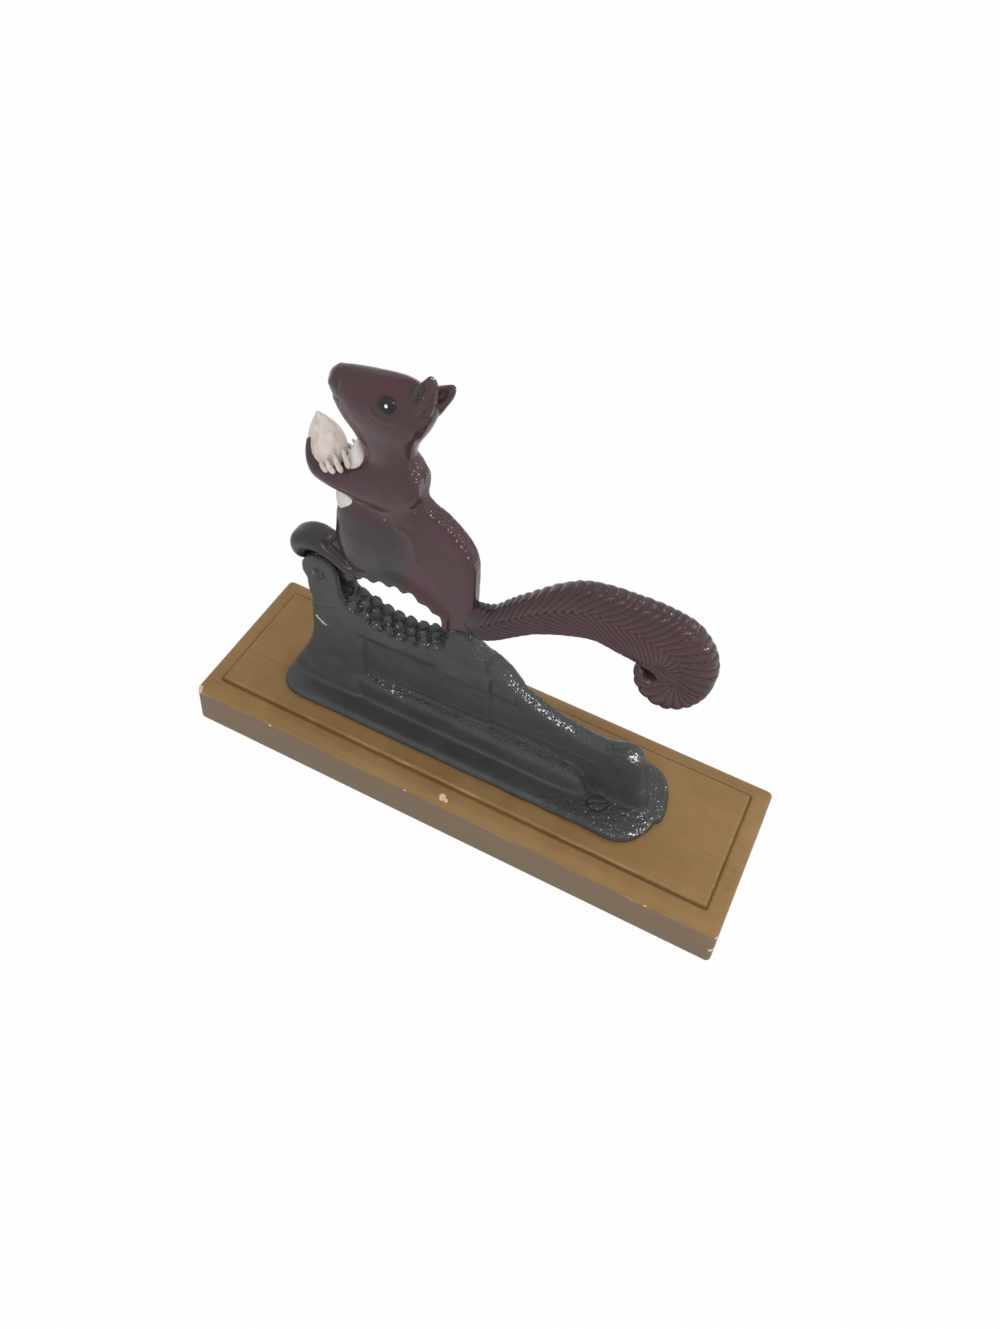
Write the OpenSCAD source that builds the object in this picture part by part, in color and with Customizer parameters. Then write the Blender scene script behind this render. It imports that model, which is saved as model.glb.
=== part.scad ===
// Lever nutcracker press: a cast squirrel, hinged at its feet in a cast frame, cracks
// the nut between its scalloped underside and the knobbed jaw of the frame.
// Origin: centre of the plinth's underside. +X runs to the tail, +Y away, +Z up.

/* [Plinth] */
// Length of the wooden plinth
plinth_l = 292; // [280:1:320]
// Width of the plinth
plinth_w = 88.9; // [80:0.1:110]
// Height of the plain vertical side
side_h = 24.8; // [15:0.1:35]
// Rise of the rounded moulding above the side
mould_h = 4.6; // [3:0.1:7]
// Inset of the moulding from the side
mould_in = 9.1; // [6:0.1:12]
// Height of the flat field above the moulding
field_h = 1.8; // [1:0.1:3]
// Rounding of the plinth's upright corners
corner_r = 2.5; // [1:0.1:5]
// Lean of the plinth's short ends, out towards the floor
end_lean = 2; // [0:0.1:3]

/* [Frame base] */
// Half width of the base flange
flange_hw = 25.5; // [22:0.1:30]
// Length of the base flange
flange_l = 207.5; // [200:0.5:215]
// Thickness of the base flange
flange_t = 5; // [4:0.1:7]
// Rounding of the flange's corners at the jaw end
flange_r = 12; // [6:0.5:16]
// Distance from the plinth's middle to the flange's left end
flange_left = 108; // [100:0.5:115]
// Half width of the pedestal under the web
pedestal_hw = 11; // [10:0.1:14]
// Height of the pedestal above the flange, against the web
pedestal_h = 17; // [14:0.1:20]
// Fall of the pedestal's ledge from the web out to its edge
ledge_fall = 4.7; // [2:0.1:6]
// Length of the pedestal
pedestal_l = 127; // [110:0.5:130]
// Run of the slope that ends the pedestal before the post
pedestal_slope = 8; // [4:0.5:10]

/* [Frame uprights] */
// Length of the recessed panel between the column and the ramp
panel_l = 74; // [60:0.5:80]
// Half thickness of the recessed panel
panel_hw = 5.5; // [4:0.1:7]
// Half thickness of the ramp's web
web_hw = 4; // [3:0.1:5]
// Half width of the jaw and of the clevis
jaw_hw = 8; // [7:0.1:10]
// Lowest height of the jaw's biting surface above the flange
jaw_low = 54.5; // [52:0.5:57]
// Depth of the jaw's rim
rim_h = 12; // [9:0.1:14]
// Distance between neighbouring knobs
knob_pitch = 7; // [6:0.1:9]
// Radius of one knob
knob_r = 3.1; // [2:0.1:3.4]
// Number of knobs along the jaw
knob_n = 6; // [4:1:8]
// Height of the rear post above the flange
post_h = 39.5; // [36:0.5:50]
// Distance from the plinth's middle to the rear post's outer face
post_x = 88.5; // [84:0.5:92]

/* [Hinge] */
// Height of the hinge pin above the flange
pivot_h = 77.3; // [72:0.1:85]
// Distance of the hinge pin from the flange's left end
pivot_in = 21; // [18:0.1:26]
// Radius of the clevis ears
ear_r = 9; // [8:0.1:11]
// Half width of the slot between the ears
slot_hw = 4; // [3:0.1:5]
// Radius of the hinge pin
pin_r = 2.4; // [1.5:0.1:3]
// Running clearance between the pin and the foot
pin_gap = 0.08; // [0.02:0.01:0.1]
// Clearance between the foot and what it turns against
turn_gap = 0.3; // [0.2:0.05:0.6]
// Radius of the pin's domed heads
pin_head_r = 3.4; // [3:0.1:5]

/* [Screws] */
// Radius of the screw heads
screw_head_r = 4.3; // [3.5:0.1:5.5]
// Radius of the screw shanks
screw_r = 2.1; // [1.5:0.1:2.6]
// Length of the screws
screw_l = 22; // [12:0.5:26]
// Clearance round the screw shanks and heads
screw_gap = 0.2; // [0.1:0.05:0.4]
// Distance of the post end's screw from the plinth's middle
screw_right_x = 69; // [60:0.5:76]
// Distance of the post end's screw from the middle line
screw_right_y = 11; // [10:0.5:18]
// Distance of the jaw end's screw from the plinth's middle
screw_left_x = 84; // [80:0.5:90]
// Distance of the jaw end's screw from the middle line
screw_left_y = 16.5; // [15:0.5:19]

/* [Squirrel] */
// Height of the squirrel's crown above the hinge pin
figure_h = 118; // [105:0.5:130]
// Half thickness of the squirrel's body plate
body_hw = 4; // [3.8:0.1:5.5]
// Half thickness of the head at the cheeks
head_hw = 9.5; // [7:0.1:11]
// Thickness of each haunch over the body plate
haunch_t = 5; // [2:0.1:6]
// Thickness of each arm over the body plate
arm_t = 5.5; // [3:0.1:6]
// Length of the tail from the rump to its curled end
tail_l = 109; // [100:0.5:120]
// Half thickness of the tail
tail_hw = 7.5; // [5:0.1:9]
// Greatest radius of the acorn
acorn_r = 7; // [5:0.1:8]
// Length of the acorn
acorn_l = 26; // [20:0.5:30]
// Radius of the eyes
eye_r = 4.4; // [3:0.1:5]

/* [Hidden] */
$fn = 48;
eps = 0.01;
iron_black = [0.21, 0.23, 0.22];
maroon = [0.36, 0.22, 0.23];
dark_maroon = [0.24, 0.19, 0.19];
bronze_wood = [0.55, 0.42, 0.24];
silver_white = [0.80, 0.76, 0.73];
steel = [0.6, 0.6, 0.6];

// Heights and places that follow from the sizes above
groove_w = field_h / 2;
field_z = side_h + mould_h + field_h;
flange_z = field_z + flange_t;
flange_x0 = -flange_left;
flange_x1 = flange_x0 + flange_l;
pivot_x = flange_x0 + pivot_in;
pivot_z = flange_z + pivot_h;
jaw_z = flange_z + jaw_low;
// The figure is drawn at a crown height of 118 mm over the pin and follows figure_h
fig_k = figure_h / 118;
tail_k = tail_l / 109;

// Points of the figure, from the hinge pin, at the drawn size
rump_x = 77;
rump_corner = [71, -5.5];
rest_z = pivot_z + rump_corner[1] * fig_k - turn_gap;
rest_x = pivot_x + rump_corner[0] * fig_k;
web_top = jaw_z - rim_h;
column_top = pivot_z - ear_r - slot_hw - 3.5;
pedestal_x0 = pivot_x + 18;
pedestal_x1 = pedestal_x0 + pedestal_l;
pedestal_top = flange_z + pedestal_h;

// ---- Shapes shared by several pieces ----

// Superellipse coordinate: -1 to 1, squarer as p grows
function se(c, p) = sign(c) * pow(abs(c), 2 / p);

// Catmull-Rom value between b and c at u = 0 to 1
function spline(a, b, c, d, u) =
    b + u / 2 * (c - a + u * (2 * a - 5 * b + 4 * c - d + u * (3 * b - a - 3 * c + d)));

// A list of stations with n steps put between each pair
function dense(s, n) = [
    for (i = [0 : len(s) - 2], j = [0 : n - 1])
        spline(s[max(i - 1, 0)], s[i], s[i + 1], s[min(i + 2, len(s) - 1)], j / n),
    s[len(s) - 1]
];

// A station is [front x, front z, back x, back z, half thickness]; its ring runs round
// the line from front to back, and front_k thins the front end
function ring(s, m, p, y, front_k) = [
    for (i = [0 : m - 1])
        let (a = 360 * i / m, u = se(cos(a), p), v = se(sin(a), p))
        [(s[0] + s[2] + u * (s[2] - s[0])) / 2,
         y + v * s[4] * (1 + front_k * u),
         (s[1] + s[3] + u * (s[3] - s[1])) / 2]
];

// Points of an arc round c from angle a0 to a1 in n steps
function arc(c, r, a0, a1, n) = [
    for (i = [0 : n]) let (a = a0 + (a1 - a0) * i / n) c + r * [cos(a), sin(a)]];

// A closed skin over rings of m points each
module skin(rings) {
    m = len(rings[0]);
    n = len(rings);
    polyhedron(
        points = [for (r = rings) each r],
        faces = [
            [for (i = [0 : m - 1]) i],
            for (j = [0 : n - 2], i = [0 : m - 1])
                let (a = j * m + i, b = j * m + (i + 1) % m)
                each [[a, a + m, b], [b, a + m, b + m]],
            [for (i = [m - 1 : -1 : 0]) (n - 1) * m + i]
        ]);
}

module loft(stations, steps = 3, m = 16, p = 2.3, y = 0, front_k = 0)
    skin([for (s = dense(stations, steps)) ring(s, m, p, y, front_k)]);

// A relief on the far side of the plane y: the half of each ring beyond it, closed flat
module relief(stations, y, steps = 3, m = 16, p = 2.3)
    skin([for (s = dense(stations, steps))
        [for (q = ring(s, m, p, 0, 0)) [q[0], y + max(q[1], 0), q[2]]]]);

// Puts a far-side piece on the near side where side is -1
module on_side(side) mirror([0, side < 0 ? 1 : 0, 0]) children();

// A plate in the XZ plane between the heights y0 and y1 across the width
module slab(y0, y1)
    translate([0, y1, 0]) rotate([90, 0, 0]) linear_extrude(y1 - y0) children();

// A centred plate of half thickness hw
module plate(hw) slab(-hw, hw) children();

// The lever's pieces are drawn from the hinge pin at the drawn size
module on_lever() translate([pivot_x, 0, pivot_z]) scale(fig_k) children();

// ---- Plinth ----

// One side of the plinth's section at half width hw, leaning out by lean; side is -1 or 1
function section_side(hw, lean, side) = [
    for (p = concat(
        [[hw + lean, 0], [hw, side_h]],
        [for (a = [15 : 15 : 90]) [hw - mould_in * (1 - cos(a)), side_h + mould_h * sin(a)]],
        [[hw - mould_in - groove_w, side_h + mould_h], [hw - mould_in - groove_w, field_z]]
    )) [side * p[0], p[1]]
];

function backwards(list) = [for (i = [len(list) - 1 : -1 : 0]) list[i]];

module plinth_run(hw, length, lean)
    translate([0, length / 2, 0]) rotate([90, 0, 0]) linear_extrude(length)
        polygon(concat(section_side(hw, lean, 1), backwards(section_side(hw, lean, -1))));

module rounded_plan(l, w, r) {
    square([l - 2 * r, w], center = true);
    square([l, w - 2 * r], center = true);
    for (x = [-1, 1], y = [-1, 1]) translate([x * (l / 2 - r), y * (w / 2 - r)]) circle(r);
}

module plinth() color(bronze_wood) difference() {
    intersection() {
        plinth_run(plinth_l / 2, plinth_w, end_lean);
        rotate([0, 0, 90]) plinth_run(plinth_w / 2, plinth_l + 2 * end_lean, 0);
        linear_extrude(field_z)
            rounded_plan(plinth_l + 2 * end_lean, plinth_w, corner_r);
    }
    screw_places() translate([0, 0, -screw_l]) cylinder(h = screw_l + eps, r = screw_r);
}

// ---- Frame ----

// One screw at each end of the flange, on opposite sides of the web
module screw_places()
    for (p = [[-screw_left_x, screw_left_y], [screw_right_x, -screw_right_y]])
        translate([p[0], p[1], flange_z]) children();

// Plan of the flange: round corners at the jaw end, a blunt nose at the post end
function flange_side(s) = [for (p = [[-22, 1], [-11.5, 0.94], [-6, 0.72], [-1.5, 0.4], [0, 0.2]])
    [flange_x1 + p[0], s * p[1] * flange_hw]];

module flange_plan() {
    translate([flange_x0 + flange_r, -flange_hw])
        square([flange_l - flange_r - 22, 2 * flange_hw]);
    translate([flange_x0, -flange_hw + flange_r])
        square([flange_r + eps, 2 * (flange_hw - flange_r)]);
    for (y = [-1, 1]) translate([flange_x0 + flange_r, y * (flange_hw - flange_r)])
        circle(flange_r);
    nose = concat(flange_side(-1), backwards(flange_side(1)));
    polygon(concat([[nose[0][0] - eps, -flange_hw]], nose, [[nose[0][0] - eps, flange_hw]]));
}

// Section of the flange with its upper edges rounded over
module flange_section(hw) {
    r = flange_t / 2;
    translate([-hw, 0]) square([2 * hw, flange_t - r]);
    translate([r - hw, 0]) square([2 * (hw - r), flange_t]);
    for (s = [-1, 1]) translate([s * (hw - r), flange_t - r]) circle(r);
}

module base_flange() color(iron_black) difference() {
    intersection() {
        translate([0, 0, field_z]) linear_extrude(flange_t) flange_plan();
        translate([flange_x0 - eps, 0, field_z]) rotate([90, 0, 90])
            linear_extrude(flange_l + 2 * eps) flange_section(flange_hw);
    }
    screw_places() {
        translate([0, 0, -flange_t - eps])
            cylinder(h = flange_t + 2 * eps, r = screw_r + screw_gap);
        translate([0, 0, -screw_head_r / 2])
            cylinder(h = screw_head_r / 2 + eps, r1 = screw_r + screw_gap,
                     r2 = screw_head_r + screw_gap);
    }
}

// The pedestal is a long block with a sloping ledge on each side and a sloping end
module pedestal() color(iron_black) intersection() {
    translate([pedestal_x0, 0, flange_z]) rotate([90, 0, 90]) linear_extrude(pedestal_l)
        polygon([
            [-pedestal_hw - 1.5, 0], [-pedestal_hw, pedestal_h - ledge_fall],
            [-panel_hw, pedestal_h], [panel_hw, pedestal_h],
            [pedestal_hw, pedestal_h - ledge_fall], [pedestal_hw + 1.5, 0]
        ]);
    plate(2 * pedestal_hw) polygon([
        [pedestal_x0, flange_z], [pedestal_x0, pedestal_top],
        [pedestal_x1 - pedestal_slope, pedestal_top], [pedestal_x1, flange_z]
    ]);
}

// Front column that carries the clevis ears, flared where it meets the flange
column_x = pivot_x - ear_r + 1.5;
module column_side() {
    flare = column_x - flange_x0 - 1.5;
    polygon(concat(
        [for (i = [0 : 10]) let (u = i / 10)
            [column_x - flare * pow(1 - u, 3), flange_z + u * (column_top - flange_z)]],
        [[pedestal_x0, column_top], [pedestal_x0, flange_z]]
    ));
}

// Side of the panel over the pedestal, up to the jaw's rim
module panel_side()
    translate([pedestal_x0, pedestal_top]) square([panel_l, web_top - pedestal_top]);

// Side of the ramp, which drops in a long curve from the hump to the rear post
ramp_x0 = pedestal_x0 + panel_l;
hump_l = 13;
module ramp_side() {
    x0 = ramp_x0 + hump_l;
    run = post_x - 22 - x0;
    drop = web_top - (flange_z + post_h - 5.5);
    polygon(concat(
        [[ramp_x0, pedestal_top], [ramp_x0, web_top]],
        [for (i = [0 : 10]) let (u = i / 10)
            [x0 + run * u, web_top - drop * (1 - pow(1 - u, 1.8))]],
        [[post_x - 20, flange_z + post_h - 5], [post_x - 20, flange_z]],
        [[pedestal_x1, flange_z], [pedestal_x1 - pedestal_slope, pedestal_top]]
    ));
}

module upright_web() color(iron_black) {
    plate(jaw_hw) column_side();
    plate(panel_hw) panel_side();
    plate(web_hw) ramp_side();
}

// The rear post ends the ramp in a rounded top; its outer face leans in as it rises
module rear_post() color(iron_black) plate(web_hw) {
    r = 8;
    x0 = post_x - 20;
    top = flange_z + post_h;
    c = [post_x - 5 - r, top - r];
    polygon(concat(
        [[x0, flange_z], [x0, top - 5]],
        arc(c, r, 120, 10, 11),
        [[post_x - 2, flange_z + 12], [post_x + 2, flange_z]]
    ));
}

// Height of the jaw from u = 0, the hinge end, down to 1, the foot of the hump
function jaw_top(u) = jaw_z + 6.3 * pow(1 - u, 1.2);
jaw_x0 = pedestal_x0;
jaw_l = rest_x - 7 - jaw_x0;

module lower_jaw() color(iron_black) {
    plate(jaw_hw) polygon(concat(
        [[jaw_x0 + jaw_l, web_top], [jaw_x0, web_top]],
        [for (i = [0 : 16]) [jaw_x0 + jaw_l * i / 16, jaw_top(i / 16)]]
    ));
    for (i = [0 : knob_n - 1], row = [-1, 0, 1])
        let (x = jaw_x0 + knob_r + 0.2 + (i + (row == 0 ? 0.5 : 0)) * knob_pitch)
            if (x + knob_r < jaw_x0 + jaw_l)
                translate([x, row * (jaw_hw - knob_r + 0.4),
                           jaw_top((x - jaw_x0) / jaw_l) - knob_r * 0.2])
                    sphere(knob_r, $fn = 24);
}

// The hump behind the jaw, where the rump comes to rest, and the start of the ramp
module lever_rest() color(iron_black) {
    x0 = jaw_x0 + jaw_l;
    x1 = rest_x + 6;
    drop = (rest_z - web_top) * 0.42;
    plate(jaw_hw) polygon(concat(
        [[ramp_x0, web_top], [x0, web_top], [x0, jaw_top(1)], [x0 + 3, rest_z - 2.5],
         [x0 + 6, rest_z]],
        [for (i = [0 : 6]) let (u = i / 6)
            [x1 + (ramp_x0 - x1) * u, rest_z - drop * pow(u, 1.5)]]
    ));
    plate(web_hw + 1.5) polygon(concat(
        [[ramp_x0, web_top]],
        [for (i = [0 : 6]) let (u = i / 6)
            [ramp_x0 + hump_l * u, web_top + (rest_z - drop - web_top) * (1 - pow(u, 1.1))]]
    ));
}

module clevis_ear(side) color(iron_black) on_side(side) difference() {
    slab(slot_hw, jaw_hw) polygon(concat(
        [[column_x, column_top]],
        arc([pivot_x, pivot_z], ear_r, 180, 0, 24),
        [[pedestal_x0, jaw_top(0)], [pedestal_x0, column_top]]
    ));
    translate([pivot_x, 0, pivot_z]) rotate([90, 0, 0])
        cylinder(h = 3 * jaw_hw, r = pin_r, center = true);
}
module clevis_ear_near() clevis_ear(-1);
module clevis_ear_far() clevis_ear(1);

// The pin is a rivet: a shank through both ears, with a domed head on each side
module hinge_pin() color(steel) translate([pivot_x, 0, pivot_z]) rotate([90, 0, 0]) {
    cylinder(h = 2 * jaw_hw, r = pin_r, center = true);
    for (s = [0, 1]) mirror([0, 0, s]) translate([0, 0, jaw_hw]) rotate_extrude()
        polygon(concat([[0, 0]], [for (a = [0 : 15 : 90])
            [pin_head_r * cos(a), pin_head_r * 0.4 * sin(a)]]));
}

// Countersunk wood screws with a slot
module frame_screws() color(iron_black) screw_places() difference() {
    union() {
        translate([0, 0, -screw_l]) cylinder(h = screw_l, r = screw_r);
        translate([0, 0, -screw_head_r / 2])
            cylinder(h = screw_head_r / 2, r1 = screw_r, r2 = screw_head_r);
    }
    translate([-screw_head_r, -0.6, -1]) cube([2 * screw_head_r, 1.2, 2]);
}

// ---- Squirrel lever, drawn from the hinge pin ----

// The knuckle turns between the ears on the pin and runs up into the body
knuckle_r = ear_r - 0.6;
knuckle_hw = slot_hw - turn_gap;
neck_top = [10, 24];
neck_low = [18.5, 7];
knuckle_neck = [neck_top - [8, 8], neck_top, neck_low] * fig_k;

module foot_knuckle() color(dark_maroon) translate([pivot_x, 0, pivot_z]) difference() {
    plate(knuckle_hw) polygon(concat(arc([0, 0], knuckle_r, 90, 360, 36), backwards(knuckle_neck)));
    rotate([90, 0, 0]) cylinder(h = 3 * slot_hw, r = pin_r + pin_gap, center = true);
}

// Toes: a rounded lobe that rides round the ears as the lever turns
toe_stations = [
    [-17.5, 4, -13, 1.5, 2.0],
    [-18.6, 8, -10, 3.5, 4.8],
    [-16, 15.5, -7, 7, 6.5],
    [-8, 20, -2, 9, 7.0],
    [0, 19.2, 4, 8.5, 7.0],
    [8, 14.5, 9.5, 5, 6.2]
];

module toes() color(dark_maroon) difference() {
    on_lever() loft(toe_stations, steps = 3, m = 18);
    translate([pivot_x, 0, pivot_z]) rotate([90, 0, 0])
        cylinder(h = 4 * jaw_hw, r = ear_r + turn_gap + 0.3, center = true);
    knuckle_room();
}

// Room for the knuckle inside the toes
module knuckle_room() translate([pivot_x, 0, pivot_z]) plate(knuckle_hw)
    polygon(concat([[0, 0], [0, knuckle_r]], knuckle_neck, [[knuckle_r, 0]]));

// The mouth's arch: the line where the body plate meets the upper jaw
mouth = [for (i = [0 : 12]) let (u = i / 12)
    neck_low + [49 * u, 10.5 * sin(180 * pow(u, 0.75)) - 2.3 * u * u]];

jaw_band = concat(mouth, backwards([for (p = mouth) p + [0.5, -4.5]]));

module upper_jaw() color(dark_maroon) on_lever() plate(jaw_hw - 0.4)
    difference() {
        polygon(jaw_band);
        for (i = [0 : 5]) translate(mouth[2 * i + 1] + [0.5, -6.6]) circle(3.4);
    }

torso_outline = concat(
    [neck_top, [11, 31], [10.5, 38], [13, 45], [17.5, 57], [22.5, 68], [24.5, 76]],
    [[51, 76], [52, 66.5], [58.5, 60.5], [66.5, 53], [72.5, 45.5], [76, 38.5], [rump_x, 32]],
    [[rump_x, -3.5], rump_corner, mouth[12]],
    [for (i = [11 : -1 : 0]) mouth[i]]
);

module torso() color(maroon) on_lever() plate(body_hw) polygon(torso_outline);

// A haunch is a raised oval on the side of the body plate
haunch_stations = [
    [18, 9, 27, 12, 0.3], [13, 16, 33, 16, 0.75], [11, 27, 39, 24, 1.0],
    [12, 38, 42, 36, 1.0], [16, 47, 40, 46, 0.75], [24, 53, 34, 53, 0.3]
];

module haunch(side) color(dark_maroon) on_lever() on_side(side) difference() {
    relief([for (s = haunch_stations) [s[0], s[1], s[2], s[3], s[4] * haunch_t]], body_hw);
    plate(jaw_hw) polygon(jaw_band);
}
module haunch_near() haunch(-1);
module haunch_far() haunch(1);

// The white chest runs down the front of the body plate
chest_outline = [
    [13, 45], [10.2, 45.5], [9.8, 50], [12.5, 61], [17, 72], [20.5, 82],
    [24.5, 82], [24.5, 76], [22.5, 68], [17.5, 57]
];

module chest_bib() color(silver_white) difference() {
    on_lever() plate(body_hw) polygon(chest_outline);
    head_body();
}

// An arm is a raised limb on the body plate that reaches forward to the acorn
arm_stations = [
    [51.5, 78, 49.5, 71, 0.3], [46, 83, 44, 63, 0.8], [38, 82, 38, 58, 1.0],
    [29, 77.5, 29, 56.5, 0.95], [20, 71.5, 19.5, 57.2, 0.8], [12, 68.5, 9, 59, 0.75],
    [5, 72, 0.3, 66, 0.75], [4, 78, -0.6, 75.5, 0.6], [3.4, 81.5, 1.2, 81, 0.3]
];

module arm(side) color(maroon) difference() {
    on_lever() on_side(side)
        relief([for (s = arm_stations) [s[0], s[1], s[2], s[3], s[4] * arm_t]], body_hw, m = 14);
    head_body();
    acorn_body(0.1);
    claws_body(0.1);
}
module arm_near() arm(-1);
module arm_far() arm(1);

// The acorn stands in the paws, tilted forward
module acorn_body(gap) on_lever() translate([8.5, 0, 64.5]) rotate([0, -15, 0])
    rotate_extrude() polygon(concat([[0, -gap]],
        [for (i = [0 : 12]) let (u = i / 12)
            [(acorn_r + gap) * pow(sin(180 * pow(1 - u, 1.35)), 0.8) * (i % 12 ? 1 : 0),
             (acorn_l + gap) * u]]));

module acorn() color(silver_white) acorn_body(0);

module claws_body(gap) on_lever() for (s = [-1, 1]) translate([15.5, s * 3.2, 68.5])
    sphere(2.6 + gap, $fn = 24);

module claws() color(silver_white) difference() {
    claws_body(0);
    acorn_body(0.1);
    on_lever() plate(body_hw) polygon(chest_outline);
}

head_stations = [
    [24.5, 76, 51, 76, 0.68], [22.5, 84, 48, 86, 0.72], [18, 93, 50.5, 94, 0.88],
    [11.5, 101, 52.5, 100.5, 0.98], [9, 107, 54.5, 106.5, 1.0], [10, 112.5, 54, 112.5, 0.92],
    [14.5, 116, 49, 118, 0.64], [25, 118.2, 43, 119.6, 0.2]
];

module head_body() on_lever()
    loft([for (s = head_stations) [s[0], s[1], s[2], s[3], s[4] * head_hw]],
         steps = 3, m = 20, front_k = 0.28);

module head() color(maroon) difference() {
    head_body();
    for (side = [-1, 1]) eyeball(side, 0.1);
}

module eyeball(side, gap) on_lever() translate([38.5, side * 5.6, 112])
    sphere(eye_r + gap, $fn = 32);
module eye_near() color("black") eyeball(-1, 0);
module eye_far() color("black") eyeball(1, 0);

near_ear = [[43, 113, 52, 111, 3.0], [48, 122, 55.5, 121, 2.6], [54.5, 130.5, 56.5, 130, 0.6]];
far_ear = [[47, 112, 54, 107, 3.0], [53, 118, 59, 114, 2.6], [60.5, 121.5, 61.5, 120, 0.6]];

module near_or_far_ear(stations, side) color(maroon) difference() {
    on_lever() loft(stations, steps = 4, m = 14, y = side * 5);
    head_body();
}
module ear_near() near_or_far_ear(near_ear, -1);
module ear_far() near_or_far_ear(far_ear, 1);

// The tail rises from the rump, arches over and curls under at its end. Each station
// joins its outer edge to its inner edge; in the curl the inner ends crowd together
tail_stations = [
    [0, 15, 0, -3.5, 0.6], [9, 17.5, 10, -3.5, 0.72], [19.3, 30.2, 33.5, 15.8, 0.9],
    [44, 52.6, 55.7, 26.4, 1.0], [68.5, 57.9, 67, 25.9, 1.0],
    [93, 57.5, 75, 24.8, 1.0], [105, 49, 81.2, 24.4, 1.0], [110.6, 37.5, 84.5, 23.6, 1.0],
    [111.2, 26.5, 85.7, 22.8, 1.0], [108.6, 16.3, 86, 21.8, 1.0],
    [102.5, 8.5, 85.6, 20.5, 1.0], [95, 4.1, 85, 19.5, 0.95],
    [87.5, 4.5, 83.5, 19, 0.85], [81.5, 8.5, 81.8, 18.8, 0.7], [78.5, 13.5, 80, 18.5, 0.45]
];

module tail_handle() color(maroon) on_lever() translate([rump_x, 0, 0])
    loft([for (s = tail_stations) [s[0] * tail_k, s[1], s[2] * tail_k, s[3], s[4] * tail_hw]],
         steps = 3, m = 18, p = 2.1);

plinth();
base_flange();
pedestal();
upright_web();
rear_post();
lower_jaw();
lever_rest();
clevis_ear_near();
clevis_ear_far();
hinge_pin();
frame_screws();
foot_knuckle();
toes();
upper_jaw();
torso();
haunch_near();
haunch_far();
chest_bib();
arm_near();
arm_far();
claws();
acorn();
head();
ear_near();
ear_far();
eye_near();
eye_far();
tail_handle();
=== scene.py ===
import math

import bpy
import numpy as np
from mathutils import Matrix, Vector


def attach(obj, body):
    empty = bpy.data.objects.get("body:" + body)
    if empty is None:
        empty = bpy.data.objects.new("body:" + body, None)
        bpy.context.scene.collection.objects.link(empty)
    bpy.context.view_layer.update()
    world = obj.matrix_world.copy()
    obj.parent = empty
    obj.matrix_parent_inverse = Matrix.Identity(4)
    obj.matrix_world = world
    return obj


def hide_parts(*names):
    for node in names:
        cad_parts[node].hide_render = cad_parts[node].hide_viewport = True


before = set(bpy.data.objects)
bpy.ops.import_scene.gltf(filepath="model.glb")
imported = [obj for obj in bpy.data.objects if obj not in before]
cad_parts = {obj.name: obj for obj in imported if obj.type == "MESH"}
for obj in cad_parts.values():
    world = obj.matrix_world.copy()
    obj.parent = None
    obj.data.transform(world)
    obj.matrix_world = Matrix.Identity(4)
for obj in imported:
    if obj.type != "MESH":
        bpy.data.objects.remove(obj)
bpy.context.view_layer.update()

MM = 0.001

# ---- Camera and light ----
# The press was photographed from above its near side, a little towards the tail, in a
# white light tent. The lens and place follow from the plinth's straight edges.
AZIMUTH, ELEVATION, ROLL = (math.radians(a) for a in (21.3467, 52.0909, 6.5779))
CAMERA_AT = (0.11234, -0.27291, 0.47055)
LENS_MM, FILM_MM = 27.743, 36
back = Vector((math.sin(AZIMUTH) * math.cos(ELEVATION), -math.cos(AZIMUTH) * math.cos(ELEVATION),
               math.sin(ELEVATION)))
right = (-back).cross(Vector((0, 0, 1))).normalized()
up = right.cross(-back)
camera_x = math.cos(ROLL) * right + math.sin(ROLL) * up
camera_y = math.cos(ROLL) * up - math.sin(ROLL) * right
camera_data = bpy.data.cameras.new("camera")
camera_data.sensor_width = FILM_MM
camera_data.lens = LENS_MM
camera = bpy.data.objects.new("camera", camera_data)
turned_view = Matrix((camera_x, camera_y, back)).transposed().to_4x4()
camera.matrix_world = Matrix.Translation(CAMERA_AT) @ turned_view
bpy.context.scene.collection.objects.link(camera)
bpy.context.scene.camera = camera
bpy.context.scene.view_settings.view_transform = "Standard"


def soft_box(name, place, aim, size, watts):
    """A square lamp of that size in metres at place, facing the point aim."""
    data = bpy.data.lights.new(name, "AREA")
    data.size = size
    data.energy = watts
    lamp = bpy.data.objects.new(name, data)
    lamp.location = place
    lamp.rotation_euler = (Vector(place) - Vector(aim)).to_track_quat("Z", "Y").to_euler()
    bpy.context.scene.collection.objects.link(lamp)


soft_box("tent_window", (0.42, 0.6, 0.85), (0, 0, 0.1), 0.24, 1.2)
soft_box("tent_right", (1.3, -0.5, 0.9), (0, 0, 0.05), 0.4, 4.0)
soft_box("tent_front", (0.25, -1.0, 1.1), (0, 0, 0.05), 0.5, 4.6)
soft_box("side_window", (0.9, 0.42, 0.3), (0, 0, 0.15), 0.12, 0.5)


def link(tree, a, b):
    """Joins two sockets of a material or world."""
    tree.links.new(a, b)


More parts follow.
